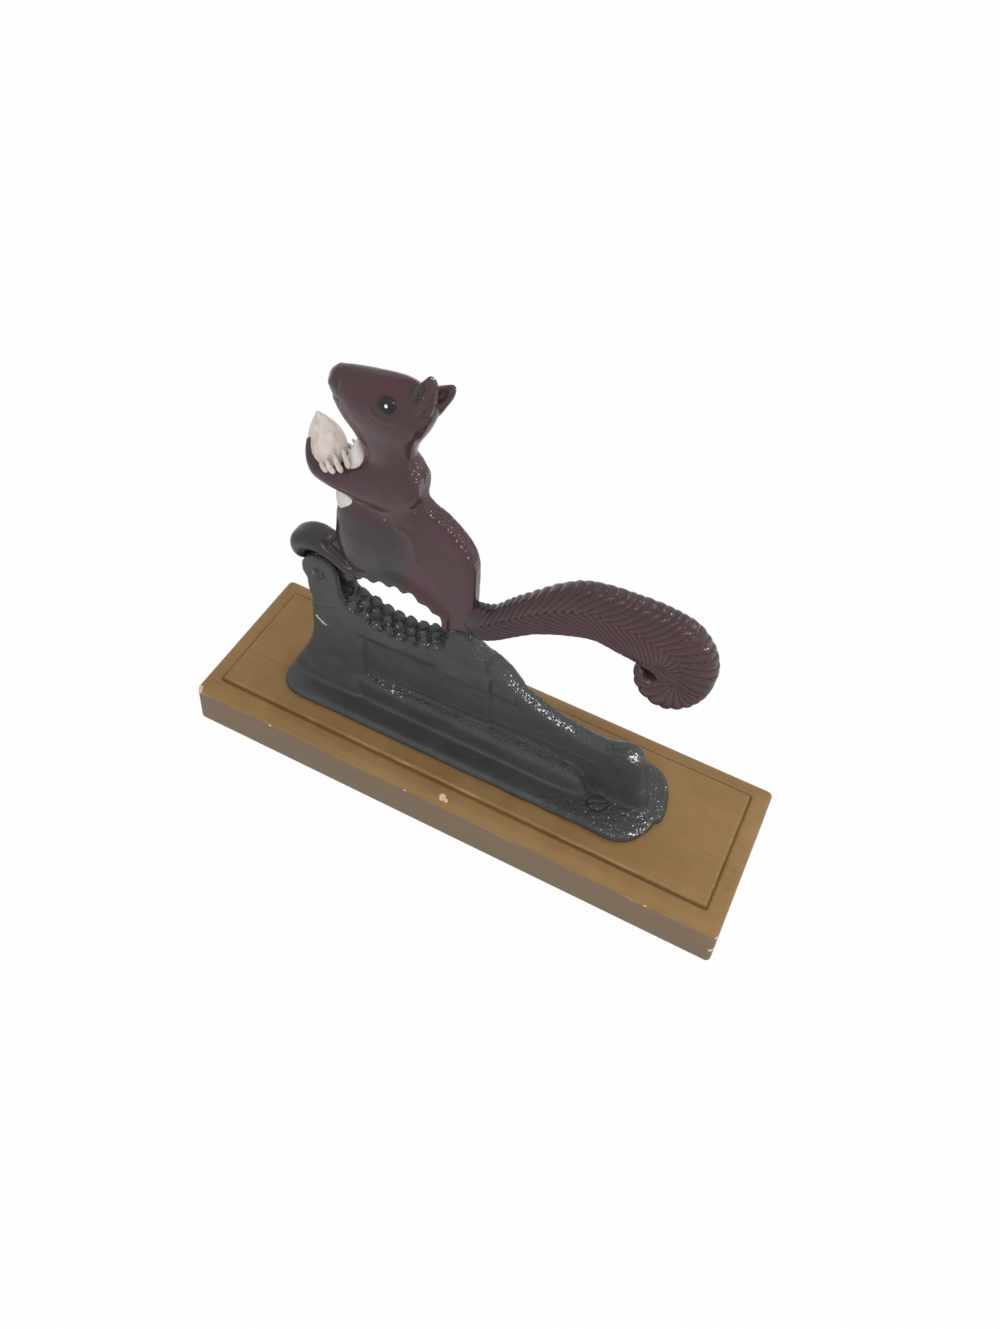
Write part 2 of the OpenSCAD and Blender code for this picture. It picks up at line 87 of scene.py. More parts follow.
def seen_white(tree, shader, strength):
    """Mixes a shader with plain white light wherever the camera or a glossy surface sees it."""
    rays = tree.nodes.new("ShaderNodeLightPath").outputs
    seen = rays["Is Camera Ray"]
    for kind, other in (("MAXIMUM", rays["Is Glossy Ray"]),
                        ("MAXIMUM", rays["Is Transmission Ray"]), ("MULTIPLY", strength)):
        node = tree.nodes.new("ShaderNodeMath")
        node.operation = kind
        link(tree, seen, node.inputs[0])
        if other is strength:
            node.inputs[1].default_value = strength
        else:
            link(tree, other, node.inputs[1])
        seen = node.outputs[0]
    mix = tree.nodes.new("ShaderNodeMixShader")
    link(tree, seen, mix.inputs["Fac"])
    link(tree, shader.outputs[0], mix.inputs[1])
    return mix


world = bpy.data.worlds.new("tent")
world.use_nodes = True
bpy.context.scene.world = world
tent = world.node_tree
glow = tent.nodes["Background"]
glow.inputs["Color"].default_value = (1, 1, 1, 1)
glow.inputs["Strength"].default_value = 0.64
white = tent.nodes.new("ShaderNodeBackground")
white.inputs["Color"].default_value = (1, 1, 1, 1)
white.inputs["Strength"].default_value = 1.0
mix = seen_white(tent, glow, 1.0)
link(tent, white.outputs[0], mix.inputs[2])
link(tent, mix.outputs[0], tent.nodes["World Output"].inputs["Surface"])


def new_mesh(name, points, faces):
    """An object at the origin with these points in mm and faces, smooth shaded."""
    mesh = bpy.data.meshes.new(name)
    mesh.from_pydata((np.asarray(points) * MM).tolist(), [], faces)
    mesh.validate()
    mesh.polygons.foreach_set("use_smooth", np.ones(len(mesh.polygons), bool))
    obj = bpy.data.objects.new(name, mesh)
    bpy.context.scene.collection.objects.link(obj)
    return obj


FLOOR_HALF, FLOOR_Z = 4000, -0.1
floor = new_mesh("floor", [[sx * FLOOR_HALF, sy * FLOOR_HALF, FLOOR_Z]
                           for sx, sy in ((-1, -1), (1, -1), (1, 1), (-1, 1))], [[0, 1, 2, 3]])
floor_material = bpy.data.materials.new("white_card")
floor_material.use_nodes = True
card = floor_material.node_tree
diffuse = card.nodes["Principled BSDF"]
diffuse.inputs["Base Color"].default_value = (0.86, 0.86, 0.85, 1)
diffuse.inputs["Roughness"].default_value = 0.9
white = card.nodes.new("ShaderNodeEmission")
white.inputs["Strength"].default_value = 1.0
mix = seen_white(card, diffuse, 0.96)
link(card, white.outputs[0], mix.inputs[2])
link(card, mix.outputs[0], card.nodes["Material Output"].inputs["Surface"])
floor.data.materials.append(floor_material)

# ---- Plinth ----
# A block of softwood, planed square, with a quarter round run along its four upper edges
# and a fine quirk inside it. It is brushed with bronze-gold paint, chipped at the edges.
PLINTH_L, PLINTH_W, CORNER = 292.0, 88.9, 2.5


def skin(rings):
    """Points and faces of a closed skin over an (n, m, 3) array of rings. Quads join each
    ring to the next, one many-sided face closes each end, and all face outwards: the
    signed volume, the sum of p . (q x r) / 6 over the faces, is made positive."""
    n, m = rings.shape[:2]
    index = np.arange(n * m).reshape(n, m)
    a, b = index[:-1], np.roll(index, -1, 1)[:-1]
    quads = np.stack([a, b, b + m, a + m], -1).reshape(-1, 4)
    points = rings.reshape(-1, 3)
    middle = points - points.mean(0)
    p, q, r, s = (middle[quads[:, k]] for k in range(4))
    side = (np.cross(p, q) * r).sum() + (np.cross(p, r) * s).sum()
    end = middle[index[-1]]
    side += (np.cross(end, np.roll(end, -1, 0)).sum(0) * end.mean(0)).sum()
    end = middle[index[0]]
    side -= (np.cross(end, np.roll(end, -1, 0)).sum(0) * end.mean(0)).sum()
    faces = quads.tolist() + [index[0][::-1].tolist(), index[-1].tolist()]
    if side < 0:
        faces = [f[::-1] for f in faces]
    return points, faces


def arc(radius, degrees):
    """Points on a circle round the origin: the radius times cos and sin of each angle."""
    angle = np.radians(degrees)
    return radius * np.stack([np.cos(angle), np.sin(angle)], 1)


def rectangle(inset, lean, z):
    """A ring round the plinth at height z: a rectangle drawn in by inset on each side, with
    its short ends pushed out by lean and its corners rounded to CORNER, in 24 steps a side."""
    radius = max(CORNER - inset * 0.15, 0.4)
    half = np.array([PLINTH_L / 2 - inset, PLINTH_W / 2 - inset])
    round_corner = arc(radius, np.linspace(0, 90, 7))
    corners = []
    for quarter, sign in enumerate(((1, 1), (-1, 1), (-1, -1), (1, -1))):
        c, s = math.cos(quarter * math.pi / 2), math.sin(quarter * math.pi / 2)
        corners.append(round_corner @ np.array([[c, s], [-s, c]]) + (half - radius) * sign)
    ring = []
    for k in range(4):
        along = np.linspace(corners[k][-1], corners[(k + 1) % 4][0], 26)[1:-1]
        ring += [corners[k], along]
    ring = np.vstack(ring)
    ring[:, 0] += np.sign(ring[:, 0]) * lean
    return np.column_stack([ring, np.full(len(ring), z)])


# Each row is inset, height, lean of the short ends, and the share of painted side shade, painted
# quirk shade and worn edge with a painted highlight
turn = np.radians(np.linspace(0, 90, 15))
PLINTH_ROWS = np.array(
    [[40, 0, 2, 1, 0, 0], [3, 0, 2, 1, 0, 0], [0.7, 0.1, 2, 1, 0, 0.5], [0.1, 0.7, 1.95, 1, 0, 1],
     [0, 2, 1.85, 1, 0, 0.2], [0, 12, 1, 1, 0, 0], [0, 23.4, 0.1, 1, 0, 0.1],
     [0, 24.6, 0, 0.9, 0, 1]]
    + [[9.1 * (1 - math.cos(t)) + 0.05, 24.9 + 4.5 * math.sin(t), 0, 0, 0, 0.7 * math.exp(-8 * t)]
       for t in turn]
    + [[9.5, 29.0, 0, 0, 0.6, 0], [9.8, 28.5, 0, 0, 1, 0], [10.1, 28.6, 0, 0, 1, 0],
       [10.3, 29.4, 0, 0, 1, 0], [10.5, 30.5, 0, 0, 0.5, 1], [10.8, 31.0, 0, 0, 0, 1],
       [11.3, 31.15, 0, 0, 0, 0.35], [12.2, 31.2, 0, 0, 0, 0], [43, 31.2, 0, 0, 0, 0]])
rings = np.array([rectangle(r[0], r[2], r[1]) for r in PLINTH_ROWS])
plinth = new_mesh("plinth_wood", *skin(rings))


def paint_values(obj, **values):
    """Stores one number per vertex under each name, for the materials to read."""
    for name, value in values.items():
        layer = obj.data.attributes.get(name) or obj.data.attributes.new(name, "FLOAT", "POINT")
        layer.data.foreach_set("value", np.ascontiguousarray(value, np.float32))


m = rings.shape[1]
# The quirk's painted shade is full along the long sides and a quarter as strong on the short ends
long_side = np.where(np.abs(rings[..., 1]) > PLINTH_W / 2 - 10.9, 1.0, 0.25).ravel()
paint_values(plinth, side=np.repeat(PLINTH_ROWS[:, 3], m), edge=np.repeat(PLINTH_ROWS[:, 5], m),
             quirk=np.repeat(PLINTH_ROWS[:, 4], m) * long_side)


def rgb(r, g, b):
    """A colour as it reads on screen, 0 to 255, turned into the linear values of the shader."""
    c = np.array([r, g, b]) / 255
    return (*np.where(c <= 0.04045, c / 12.92, ((c + 0.055) / 1.055) ** 2.4), 1.0)


class Finish:
    """A material being put together: its node tree and its one glossy surface shader."""

    def __init__(self, name):
        self.material = bpy.data.materials.new(name)
        self.material.use_nodes = True
        self.tree = self.material.node_tree
        self.shader = self.tree.nodes["Principled BSDF"]
        self.place = self.tree.nodes.new("ShaderNodeTexCoord").outputs["Object"]

    def put(self, source, socket):
        """Joins a value or colour to one of the shader's sockets."""
        link(self.tree, source, self.shader.inputs[socket])

    def node(self, kind, sockets, **settings):
        """A new node of a kind, with its settings made and its sockets joined or set."""
        node = self.tree.nodes.new("ShaderNode" + kind)
        for name, value in settings.items():
            setattr(node, name, value)
        for socket, value in sockets.items():
            if isinstance(value, bpy.types.NodeSocket):
                link(self.tree, value, node.inputs[socket])
            else:
                node.inputs[socket].default_value = value
        return node

    def stretched(self, x, y, z):
        """The object's own coordinates, scaled for a pattern of x by y by z mm."""
        scale = [1 / (MM * k) for k in (x, y, z)]
        return self.node("Mapping", {"Vector": self.place, "Scale": scale}).outputs[0]

    def clouds(self, size, detail=3, rough=0.55):
        """Soft noise, 0 to 1, with patches of about size mm, or (x, y, z) mm."""
        place = self.stretched(*(size if isinstance(size, tuple) else (size,) * 3))
        return self.node("TexNoise", {"Vector": place, "Scale": 1, "Detail": detail,
                                      "Roughness": rough}).outputs["Fac"]

    def read(self, name):
        """A per-vertex number stored by paint_values."""
        return self.node("Attribute", {}, attribute_name=name).outputs["Fac"]

    def sum(self, kind, a, b):
        """Arithmetic on two numbers or sockets, such as MULTIPLY or ADD."""
        return self.node("Math", {0: a, 1: b}, operation=kind).outputs[0]

    def span(self, source, low, high, to_low=0.0, to_high=1.0):
        """Maps low..high onto to_low..to_high, eased, and held at the ends."""
        return self.node("MapRange", {"Value": source, "From Min": low, "From Max": high,
                                      "To Min": to_low, "To Max": to_high},
                         interpolation_type="SMOOTHSTEP").outputs[0]

    def blend(self, amount, a, b):
        """Colour a where amount is 0, colour b where it is 1."""
        return self.node("Mix", {"Factor": amount, 6: a, 7: b}, data_type="RGBA").outputs[2]

    def bump(self, height, depth_mm, strength=1.0, under=None):
        """Raises the surface by height times depth_mm, over another bump if one is given."""
        sockets = {"Distance": depth_mm * MM, "Strength": strength, "Height": height}
        if under is not None:
            sockets["Normal"] = under
        return self.node("Bump", sockets).outputs[0]

    def spot(self, x, y, z, radius, ragged):
        """1 within radius mm of a point, with an edge made ragged by noise, else 0."""
        far = self.node("VectorMath", {0: self.place, 1: (x * MM, y * MM, z * MM)},
                        operation="DISTANCE").outputs["Value"]
        far = self.sum("ADD", far, self.sum("MULTIPLY", ragged, radius * MM))
        return self.span(far, radius * MM * 1.45, radius * MM * 1.55, 1, 0)


bronze = Finish("bronze_gold_paint")
streaks = bronze.clouds((60, 2.2, 2.2), detail=4, rough=0.5)
patches = bronze.clouds(28, detail=3)
gold = bronze.blend(bronze.span(streaks, 0.3, 0.7), rgb(135, 104, 63), rgb(143, 111, 68))
gold = bronze.blend(bronze.span(patches, 0.35, 0.75), gold, rgb(149, 118, 75))
# Painted shade: the sides have the same paint as the top, drawn darker and greyer where side is 1
side_shade_tone = bronze.blend(bronze.span(patches, 0.3, 0.7), rgb(113, 94, 72), rgb(121, 102, 79))
colour = bronze.blend(bronze.read("side"), gold, side_shade_tone)
# Painted shade in the quirk groove
colour = bronze.blend(bronze.sum("MULTIPLY", bronze.read("quirk"), 0.45), colour, rgb(76, 48, 32))
# Pale paint along the edges: worn paint, and also a painted highlight along the field's edge
rubbed_and_highlit = bronze.span(bronze.clouds((22, 3, 3), 4), 0.5, 0.72)
rubbed_and_highlit = bronze.sum("MULTIPLY", bronze.read("edge"), rubbed_and_highlit)
colour = bronze.blend(bronze.sum("MULTIPLY", rubbed_and_highlit, 0.55), colour, rgb(196, 160, 112))
ragged = bronze.clouds(2.2, detail=4)
# Paint chips along the edges: place and radius of each
CHIPS = ((-0.6, -40.7, 28.2, 1.9), (1.8, -41.2, 27.6, 1.2), (-67, -41.5, 27, 0.9),
         (-47, -41.4, 27, 0.8), (-43.5, -41.6, 26.8, 0.9), (44, -42.6, 26, 1.0),
         (66, -42, 26.5, 1.1), (-144, -43, 25.5, 2.2), (-145.4, -37, 25, 1.2),
         (-146, -43, 16, 1.3), (146, -43.6, 12, 1.5), (145.5, -43, 24.6, 1.2),
         (110, -44.2, 24.8, 0.8), (-100, -44.3, 24.8, 0.8), (-20, -44.4, 24.8, 0.7),
         (147, 20, 5, 1.2))
chips = bronze.spot(*CHIPS[0], ragged)
for chip in CHIPS[1:]:
    chips = bronze.sum("MAXIMUM", chips, bronze.spot(*chip, ragged))
colour = bronze.blend(chips, colour, rgb(226, 190, 150))
bronze.put(colour, "Base Color")
bronze.put(bronze.span(patches, 0.2, 0.8, 0.42, 0.56), "Roughness")
peel = bronze.bump(bronze.clouds(1.3, detail=2), 0.03, 0.6)
peel = bronze.bump(streaks, 0.03, 0.5, peel)
bronze.put(bronze.bump(chips, -0.35, 1.0, peel), "Normal")
bronze.shader.inputs["Specular IOR Level"].default_value = 0.25
plinth.data.materials.append(bronze.material)
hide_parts("plinth")
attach(plinth, "stand")

# ---- Frame casting ----
# Flange, pedestal, upright, jaw, hump, post and clevis ears are one grey iron casting from
# an open sand mould. It is dipped in black enamel, which pools smooth and lets the grain show.
HINGE = np.array([-87.0, 0.0, 113.5])
FIELD_Z, FLANGE_Z = 31.2, 36.2


def curve(points, steps):
    """A smooth line through the points: Catmull-Rom, with steps parts to each span. Each
    row may hold any numbers, such as the stations of a loft."""
    p = np.asarray(points, float)
    p = np.vstack([p[0], p, p[-1]])
    u = np.linspace(0, 1, steps, endpoint=False)[:, None, None]
    a, b, c, d = p[:-3], p[1:-2], p[2:-1], p[3:]
    line = b + u / 2 * (c - a + u * (2 * a - 5 * b + 4 * c - d + u * (3 * b - a - 3 * c + d)))
    return np.vstack([line.transpose(1, 0, 2).reshape(-1, p.shape[1]), p[-1:]])


def loft(stations, steps=4, count=36, square=2.3, y=0.0, thin_front=0.0):
    """Rings of a limb. A station is front x, front z, back x, back z, half thickness: its
    ring is a superellipse, |u|^p + |v|^p = 1, with u from front to back and v across."""
    s = curve(stations, steps)
    angle = np.linspace(0, 2 * np.pi, count, endpoint=False)
    u = np.sign(np.cos(angle)) * np.abs(np.cos(angle)) ** (2 / square)
    v = np.sign(np.sin(angle)) * np.abs(np.sin(angle)) ** (2 / square)
    x = (s[:, [0]] + s[:, [2]] + u * (s[:, [2]] - s[:, [0]])) / 2
    z = (s[:, [1]] + s[:, [3]] + u * (s[:, [3]] - s[:, [1]])) / 2
    return np.stack([x, y + v * s[:, [4]] * (1 + thin_front * u), z], -1)


def evenly(outline, step):
    """The closed outline with a point every step mm, its corners kept within half a step."""
    p = np.vstack([outline, outline[:1]]).astype(float)
    far = np.concatenate([[0], np.cumsum(np.hypot(*np.diff(p, axis=0).T))])
    at = np.linspace(0, far[-1], max(int(far[-1] / step), 8), endpoint=False)
    return np.stack([np.interp(at, far, p[:, k]) for k in range(2)], 1)


def plate(outline, rows, step=1.2, flat=True):
    """Rings of a plate with eased edges. Each row is an inset and a place across the plate:
    the ring is the outline moved in by the inset along its own normals. The outline lies in
    the XZ plane, or in plan where flat is False."""
    p = evenly(np.asarray(outline, float), step)
    along = np.roll(p, -2, 0) - np.roll(p, 2, 0)
    inward = np.stack([-along[:, 1], along[:, 0]], 1)
    inward /= np.maximum(np.hypot(*inward.T), 1e-9)[:, None]
    area = (p[:, 0] * np.roll(p[:, 1], -1) - np.roll(p[:, 0], -1) * p[:, 1]).sum()
    rings = []
    for inset, across in rows:
        q = p + np.sign(area) * inset * inward
        level = np.full(len(q), across)
        columns = [q[:, 0], level, q[:, 1]] if flat else [q[:, 0], q[:, 1], level]
        rings.append(np.stack(columns, 1))
    return np.array(rings)


def eased(half, ease):
    """Rows for plate: half thickness on both sides, with edges rounded over by ease mm."""
    turn = np.radians([0, 22, 45, 68, 90])
    side = np.stack([ease * (1 - np.cos(turn)), half - ease * (1 - np.sin(turn))], 1)
    return np.vstack([side[::-1], side * [1, -1]])[::-1]


def cast(name, shells, voxel, passes):
    """One casting from overlapping closed shells: they are joined, rebuilt on a grid of
    voxel mm, which drops the parts inside each other, and eased by passes of smoothing."""
    points, faces, count = [], [], 0
    for rings in shells:
        p, f = skin(rings)
        points.append(p)
        faces += [[k + count for k in face] for face in f]
        count += len(p)
    rough = new_mesh(name, np.vstack(points), faces)
    fuse = rough.modifiers.new("fuse", "REMESH")
    fuse.mode = "VOXEL"
    fuse.voxel_size = voxel * MM
    fuse.use_smooth_shade = True
    ease = rough.modifiers.new("ease", "SMOOTH")
    ease.factor = 0.5
    ease.iterations = passes
    graph = bpy.context.evaluated_depsgraph_get()
    mesh = bpy.data.meshes.new_from_object(rough.evaluated_get(graph))
    rough.modifiers.clear()
    rough.data = mesh
    mesh.name = name
    return rough


def surface(obj):
    """Points in mm and normals of a mesh, as two (n, 3) arrays."""
    n = len(obj.data.vertices)
    points, normals = np.zeros(n * 3, np.float32), np.zeros(n * 3, np.float32)
    obj.data.vertices.foreach_get("co", points)
    obj.data.vertex_normals.foreach_get("vector", normals)
    return points.reshape(-1, 3) / MM, normals.reshape(-1, 3)


def move(obj, points):
    """Puts the mesh's points, in mm."""
    obj.data.vertices.foreach_set("co", (points * MM).astype(np.float32).ravel())
    obj.data.update()


def lumps(points, size, seed):
    """Smooth value noise, -1 to 1: random numbers on a lattice of size mm, hashed from the
    lattice indices and the seed, and eased between corners by 3t^2 - 2t^3."""
    q = points / size
    base = np.floor(q).astype(np.int64)
    t = q - base
    t = t * t * (3 - 2 * t)
    total = np.zeros(len(q))
    for corner in range(8):
        bit = np.array([corner & 1, corner >> 1 & 1, corner >> 2 & 1])
        i = (base + bit).astype(np.uint32)
        h = i[:, 0] * np.uint32(374761393) + i[:, 1] * np.uint32(668265263)
        h = h + i[:, 2] * np.uint32(2246822519) + np.uint32(seed * 974711)
        h = (h ^ (h >> np.uint32(13))) * np.uint32(1274126177)
        h = h ^ (h >> np.uint32(16))
        total += np.prod(np.where(bit, t, 1 - t), 1) * (h / 2147483648.0 - 1)
    return total


def neighbour_mean(obj):
    """A function that gives, for one number per vertex, the mean over each one's neighbours."""
    edges = np.zeros(len(obj.data.edges) * 2, np.int32)
    obj.data.edges.foreach_get("vertices", edges)
    a, b = edges.reshape(-1, 2).T
    n = len(obj.data.vertices)
    count = np.maximum(np.bincount(a, minlength=n) + np.bincount(b, minlength=n), 1)
    return lambda value: (np.bincount(a, value[b], n) + np.bincount(b, value[a], n)) / count


def crest(obj, rounds):
    """How sharply the surface stands out, in mm: each vertex against the mean of its
    neighbours, along its normal, averaged over rounds of neighbours. Hollows are negative."""
    points, normals = surface(obj)
    mean = neighbour_mean(obj)
    out = sum((points[:, k] - mean(points[:, k])) * normals[:, k] for k in range(3))
    for _ in range(rounds):
        out = 0.5 * out + 0.5 * mean(out)
    return out


flange_outline = np.vstack([
    curve([[79.8, -24.9], [86.2, -23.6], [93.0, -18.4], [97.3, -10.2], [98.2, -5.2]], 4),
    [[99.6, -4.8], [100.6, -3.6]], curve([[100.9, -1], [100.5, 5.2], [98.6, 12], [94.6, 19.6],
    [89, 23.6], [80, 25.5]], 4),
    curve([[-96, 25.5], [-103.5, 22.7], [-107.4, 16.5], [-108, 13]], 4),
    curve([[-108, -13], [-107.4, -16.5], [-103.5, -22.7], [-96, -25.5]], 4)])
# Stations of the column under the ears, for loft
COLUMN = [[-107, 32.2, -60, 32.2, 15], [-105.5, 38.5, -61.5, 38.5, 12.6],
          [-102.2, 46, -62.6, 46, 10.4], [-99, 53.5, -63.2, 53.5, 9.1],
          [-96.4, 61, -63.5, 61, 8.5], [-95, 69, -63.5, 69, 8.2], [-94.6, 82, -63.5, 82, 8.0],
          [-94.5, 91, -65, 90, 8.0], [-93.4, 97.6, -70, 95, 8.0]]
JAW_TOP = curve([[-78, 98.4], [-73, 97], [-69, 95], [-64, 92.4], [-58, 90.4], [-51, 89.2],
                 [-44, 88.8], [-37, 89.8], [-31, 92], [-24, 95.4], [-20, 97]], 6)


def jaw_line(x):
    """Height of the biting surface at x: a shallow dip from the hinge to the hump."""
    return np.interp(x, JAW_TOP[:, 0], JAW_TOP[:, 1])


along = np.linspace(-75, -22, 20)
jaw_outline = np.vstack([[[-23, 82.4], [-75, 79.4]], np.stack([along, jaw_line(along)], 1)])
PEDESTAL = [[-72, 34, 64, 34, 12.9], [-71, 36.6, 62, 36.4, 12.2], [-70, 40, 60, 39.6, 11.7],
            [-69.4, 46.8, 57.6, 44, 11.2], [-69, 48.4, 54, 46.8, 10.4],
            [-69, 49.2, 48, 48.6, 8.8], [-69, 49.8, 36, 49.8, 5.4]]
HUMP = [[-24.6, 90, 4.4, 90, 7.0], [-24, 94, 3, 93.4, 6.8], [-22.6, 98.6, 0, 96.6, 5.9],
        [-20.6, 103, -4.6, 100.4, 4.8], [-18.4, 106.2, -8.4, 104.4, 3.6],
        [-16.4, 107.5, -12.6, 106.8, 2.0]]
hump_side = [[-25, 79], [-25, 93.4], [-22, 94.4], [0, 93.6], [4.5, 90], [5, 79]]
brow_outline = [[18, 76], [2, 76], [2, 96.4], [6, 94.2], [10, 91.2], [14, 87.4], [18, 83.0]]
ramp = curve([[17, 84.6], [22, 81.2], [30, 77.2], [40, 73.3], [50, 71.1], [58, 70.2],
              [64, 70.4]], 5)
ramp_outline = np.vstack([[[66, 34], [3, 34], [3, 88]], ramp])
post_outline = np.vstack([[[62, 34], [62, 69.8]], curve([[66, 71.2], [70, 74], [74.5, 75.7],
                          [79, 75], [82.3, 72], [83.6, 67]], 5), [[86.4, 48], [90.5, 34]]])
EAR_R = 9.7
ear_outline = np.vstack([[[-93.4, 96]], HINGE[[0, 2]] + arc(EAR_R, np.linspace(222, -8, 26)),
                         [[-76.8, 106], [-75.6, 100], [-73, 95]]])
# Flange, column, web, its rim, jaw, hump and hump's top, brow, ramp, post, pedestal, post's foot
shells = [
    plate(flange_outline, [[3, FIELD_Z + 0.1], [0.4, FIELD_Z + 0.15], [0, FIELD_Z + 0.8],
                           [0, 33.6], [0.7, 35.2], [2.2, 36.1], [4.5, FLANGE_Z]], 1.5, False),
    loft(COLUMN, steps=3, count=48, square=6),
    plate([[-66, 46], [-66, 83], [4.8, 83], [4.8, 46]], eased(5.5, 0.6)),
    plate([[-66, 77.4], [-66, 84], [1.5, 86], [1.5, 79.6]], eased(6.6, 0.7)),
    plate(jaw_outline, eased(8.0, 1.0)),
    plate(hump_side, eased(8.0, 1.1)),
    loft(HUMP, steps=3, count=40, square=4),
    plate(brow_outline, eased(5.6, 1.6)),
    plate(ramp_outline, eased(4.0, 1.3)),
    plate(post_outline, eased(4.2, 2.2)),
    loft(PEDESTAL, steps=3, count=60, square=9),
    loft([[60, 34, 93.5, 34, 6.6], [62, 37, 91.4, 37, 5.2], [64, 41, 90, 41, 4.4],
          [66, 46, 88.4, 46, 4.0]], steps=3, count=32, square=4),
]
for y in (-6.0, 6.0):
    shells.append(plate(ear_outline, eased(2.0, 0.8) + [0, y]))
casting = cast("frame_casting", shells, 0.78, 5)


def smooth_step(value, low, high):
    """0 below low, 1 above high, and 3t^2 - 2t^3 between."""
    t = np.clip((value - low) / (high - low), 0, 1)
    return t * t * (3 - 2 * t)


def within(value, low, full, still, high):
    """Rises from 0 at low to 1 at full, and falls again from 1 at still to 0 at high."""
    return smooth_step(value, low, full) * smooth_step(-value, -high, -still)


def stroke(points, normals, path, width, depth):
    """How far each point moves for a groove or ridge drawn on both flanks: depth times
    exp(-(d / width)^2), where d is the distance in side view to the path from the pin."""
    p = points[:, [0, 2]] - HINGE[[0, 2]]
    path = curve(path, 4)
    best = np.full(len(p), 1e9)
    for a, b in zip(path[:-1], path[1:]):
        ab = b - a
        t = np.clip(((p - a) @ ab) / max(ab @ ab, 1e-9), 0, 1)[:, None]
        best = np.minimum(best, np.hypot(*(p - a - t * ab).T))
    return depth * np.exp(-(best / width) ** 2) * smooth_step(np.abs(normals[:, 1]), 0.15, 0.5)


def sand_grain(obj, grain, depth, glint):
    """The skin of a sand casting: slow waves, fine lumps of depth mm where grain is 1, and
    bright peaks where glint is over 0."""
    points, normals = surface(obj)
    rise = 0.22 * lumps(points, 8, 1) + 0.08 * lumps(points, 3.6, 3)
    rise = rise + (0.03 + depth * grain) * lumps(points, 1.7, 2)
    move(obj, points + normals * rise[:, None])
    paint_values(obj, grain=grain, crest=crest(obj, 2), glint=glint)


points, normals = surface(casting)
x, y, z = points.T
upward = smooth_step(normals[:, 2], 0.2, 0.7)
near_end = smooth_step(x + 0.6 * np.abs(y), 44, 78) * smooth_step(-z, -42, -37)
# Fine ridges and one groove drawn on the flanks: path from the pin, width and height
FRAME_STROKES = (
    ([[-3.5, -24.6], [15.3, -15.1]], 0.7, 0.3),
    ([[22, -62.3], [74, -59.6], [121, -57.2], [150, -57]], 0.6, 0.35),
    ([[24, -23], [40, -20.4], [64, -19.6], [88, -19.5]], 0.6, -0.3),
)
for path, width, depth in FRAME_STROKES:
    points = points + normals * stroke(points, normals, path, width, depth)[:, None]
# Each screw sits in a shallow dished seat; the third number is the turn of its slot
SCREWS = ((69.0, -11.0, 0.5), (-84.0, 16.5, 1.9))
for sx, sy, _ in SCREWS:
    ring = np.hypot(x - sx, y - sy)
    points[:, 2] -= 0.5 * smooth_step(-ring, -5.4, -4.5) * upward * smooth_step(-z, -39, -37)
move(casting, points)
grain = np.clip(upward * (near_end + smooth_step(z, 40, 48)) + 0.5 * near_end, 0, 1)
# Bright grain, partly enamel worn through to the iron and partly painted glints: on the tops, the
# ramp, the hump's near edge, the pedestal's ledge and the flange's tail end; then painted glints on
# the post's crest, the near rim of the flange and a streak low on the column
on_top = smooth_step(normals[:, 2], 0.35, 0.75)
ramp_top = within(x, 4, 16, 44, 60) * smooth_step(z, 66, 70) * smooth_step(-y, -2.5, 0.5)
hump_top = within(x, -20, -12, 2, 12) * smooth_step(z, 86, 92) * smooth_step(-y, -2, 1)
ledge = within(z, 46.5, 47.6, 51, 54) * (0.45 + 0.55 * smooth_step(-x, 20, 50))
flange_end = smooth_step(x - 0.5 * (y + 4), 40, 100) * smooth_step(-z, -41, -38)
glint = 1.15 * ramp_top + 0.6 * hump_top + 0.8 * ledge + 0.6 * flange_end
glint = on_top * np.clip(glint, 0, 1.1)
post_top = np.exp(-((x - 78.8) ** 2 + (z - 73) ** 2 + (y + 3.4) ** 2) / 18)
rim = smooth_step(x, 84, 96) * smooth_step(-y, 2, 14) * smooth_step(-z, -37, -34)
rub_and_glint = stroke(points, normals, [[-3.6, -32.5], [1.6, -36.6]], 0.9, 1.0) * (y < 0)
glint = glint + 1.7 * post_top + 0.8 * rim + 2.2 * rub_and_glint
glint = np.clip(glint + 0.35 * smooth_step(-z, -38, -34) * on_top, 0, 2.2)
sand_grain(casting, grain, 0.2, glint)


def bright_grain(coat, colour, tone, size):
    """Adds bright specks on the sand grain's peaks, partly enamel worn through to the iron and
    partly
    painted glints: fine noise above a level that the glint value sets, from none at 0 to thick at
    1."""
    speck = coat.sum("ADD", coat.clouds(size, detail=2, rough=0.7),
                     coat.sum("MULTIPLY", coat.sum("SUBTRACT", coat.read("glint"), 1), 0.22))
    bare_and_glint = coat.span(speck, 0.575, 0.63)
    coat.put(coat.blend(bare_and_glint, colour, tone), "Base Color")
    coat.put(bare_and_glint, "Metallic")


def cast_relief(coat, fine, depth, wave_depth, wave_share):
    """The cast skin under an enamel: fine grain of depth mm where the mesh's grain value is
    high, over slow waves 5 mm long."""
    strength = coat.span(coat.read("grain"), 0, 1, 0.04, 1.0)
    relief = coat.bump(fine, depth, strength)
    relief = coat.bump(coat.clouds(5, detail=2), wave_depth, wave_share, relief)
    coat.put(relief, "Normal")
    coat.shader.inputs["Specular IOR Level"].default_value = ENAMEL_SPECULAR


def shade(colour, share):
    """A darker tone of a colour: share of its light."""
    return tuple(share * k for k in colour[:3]) + (1.0,)
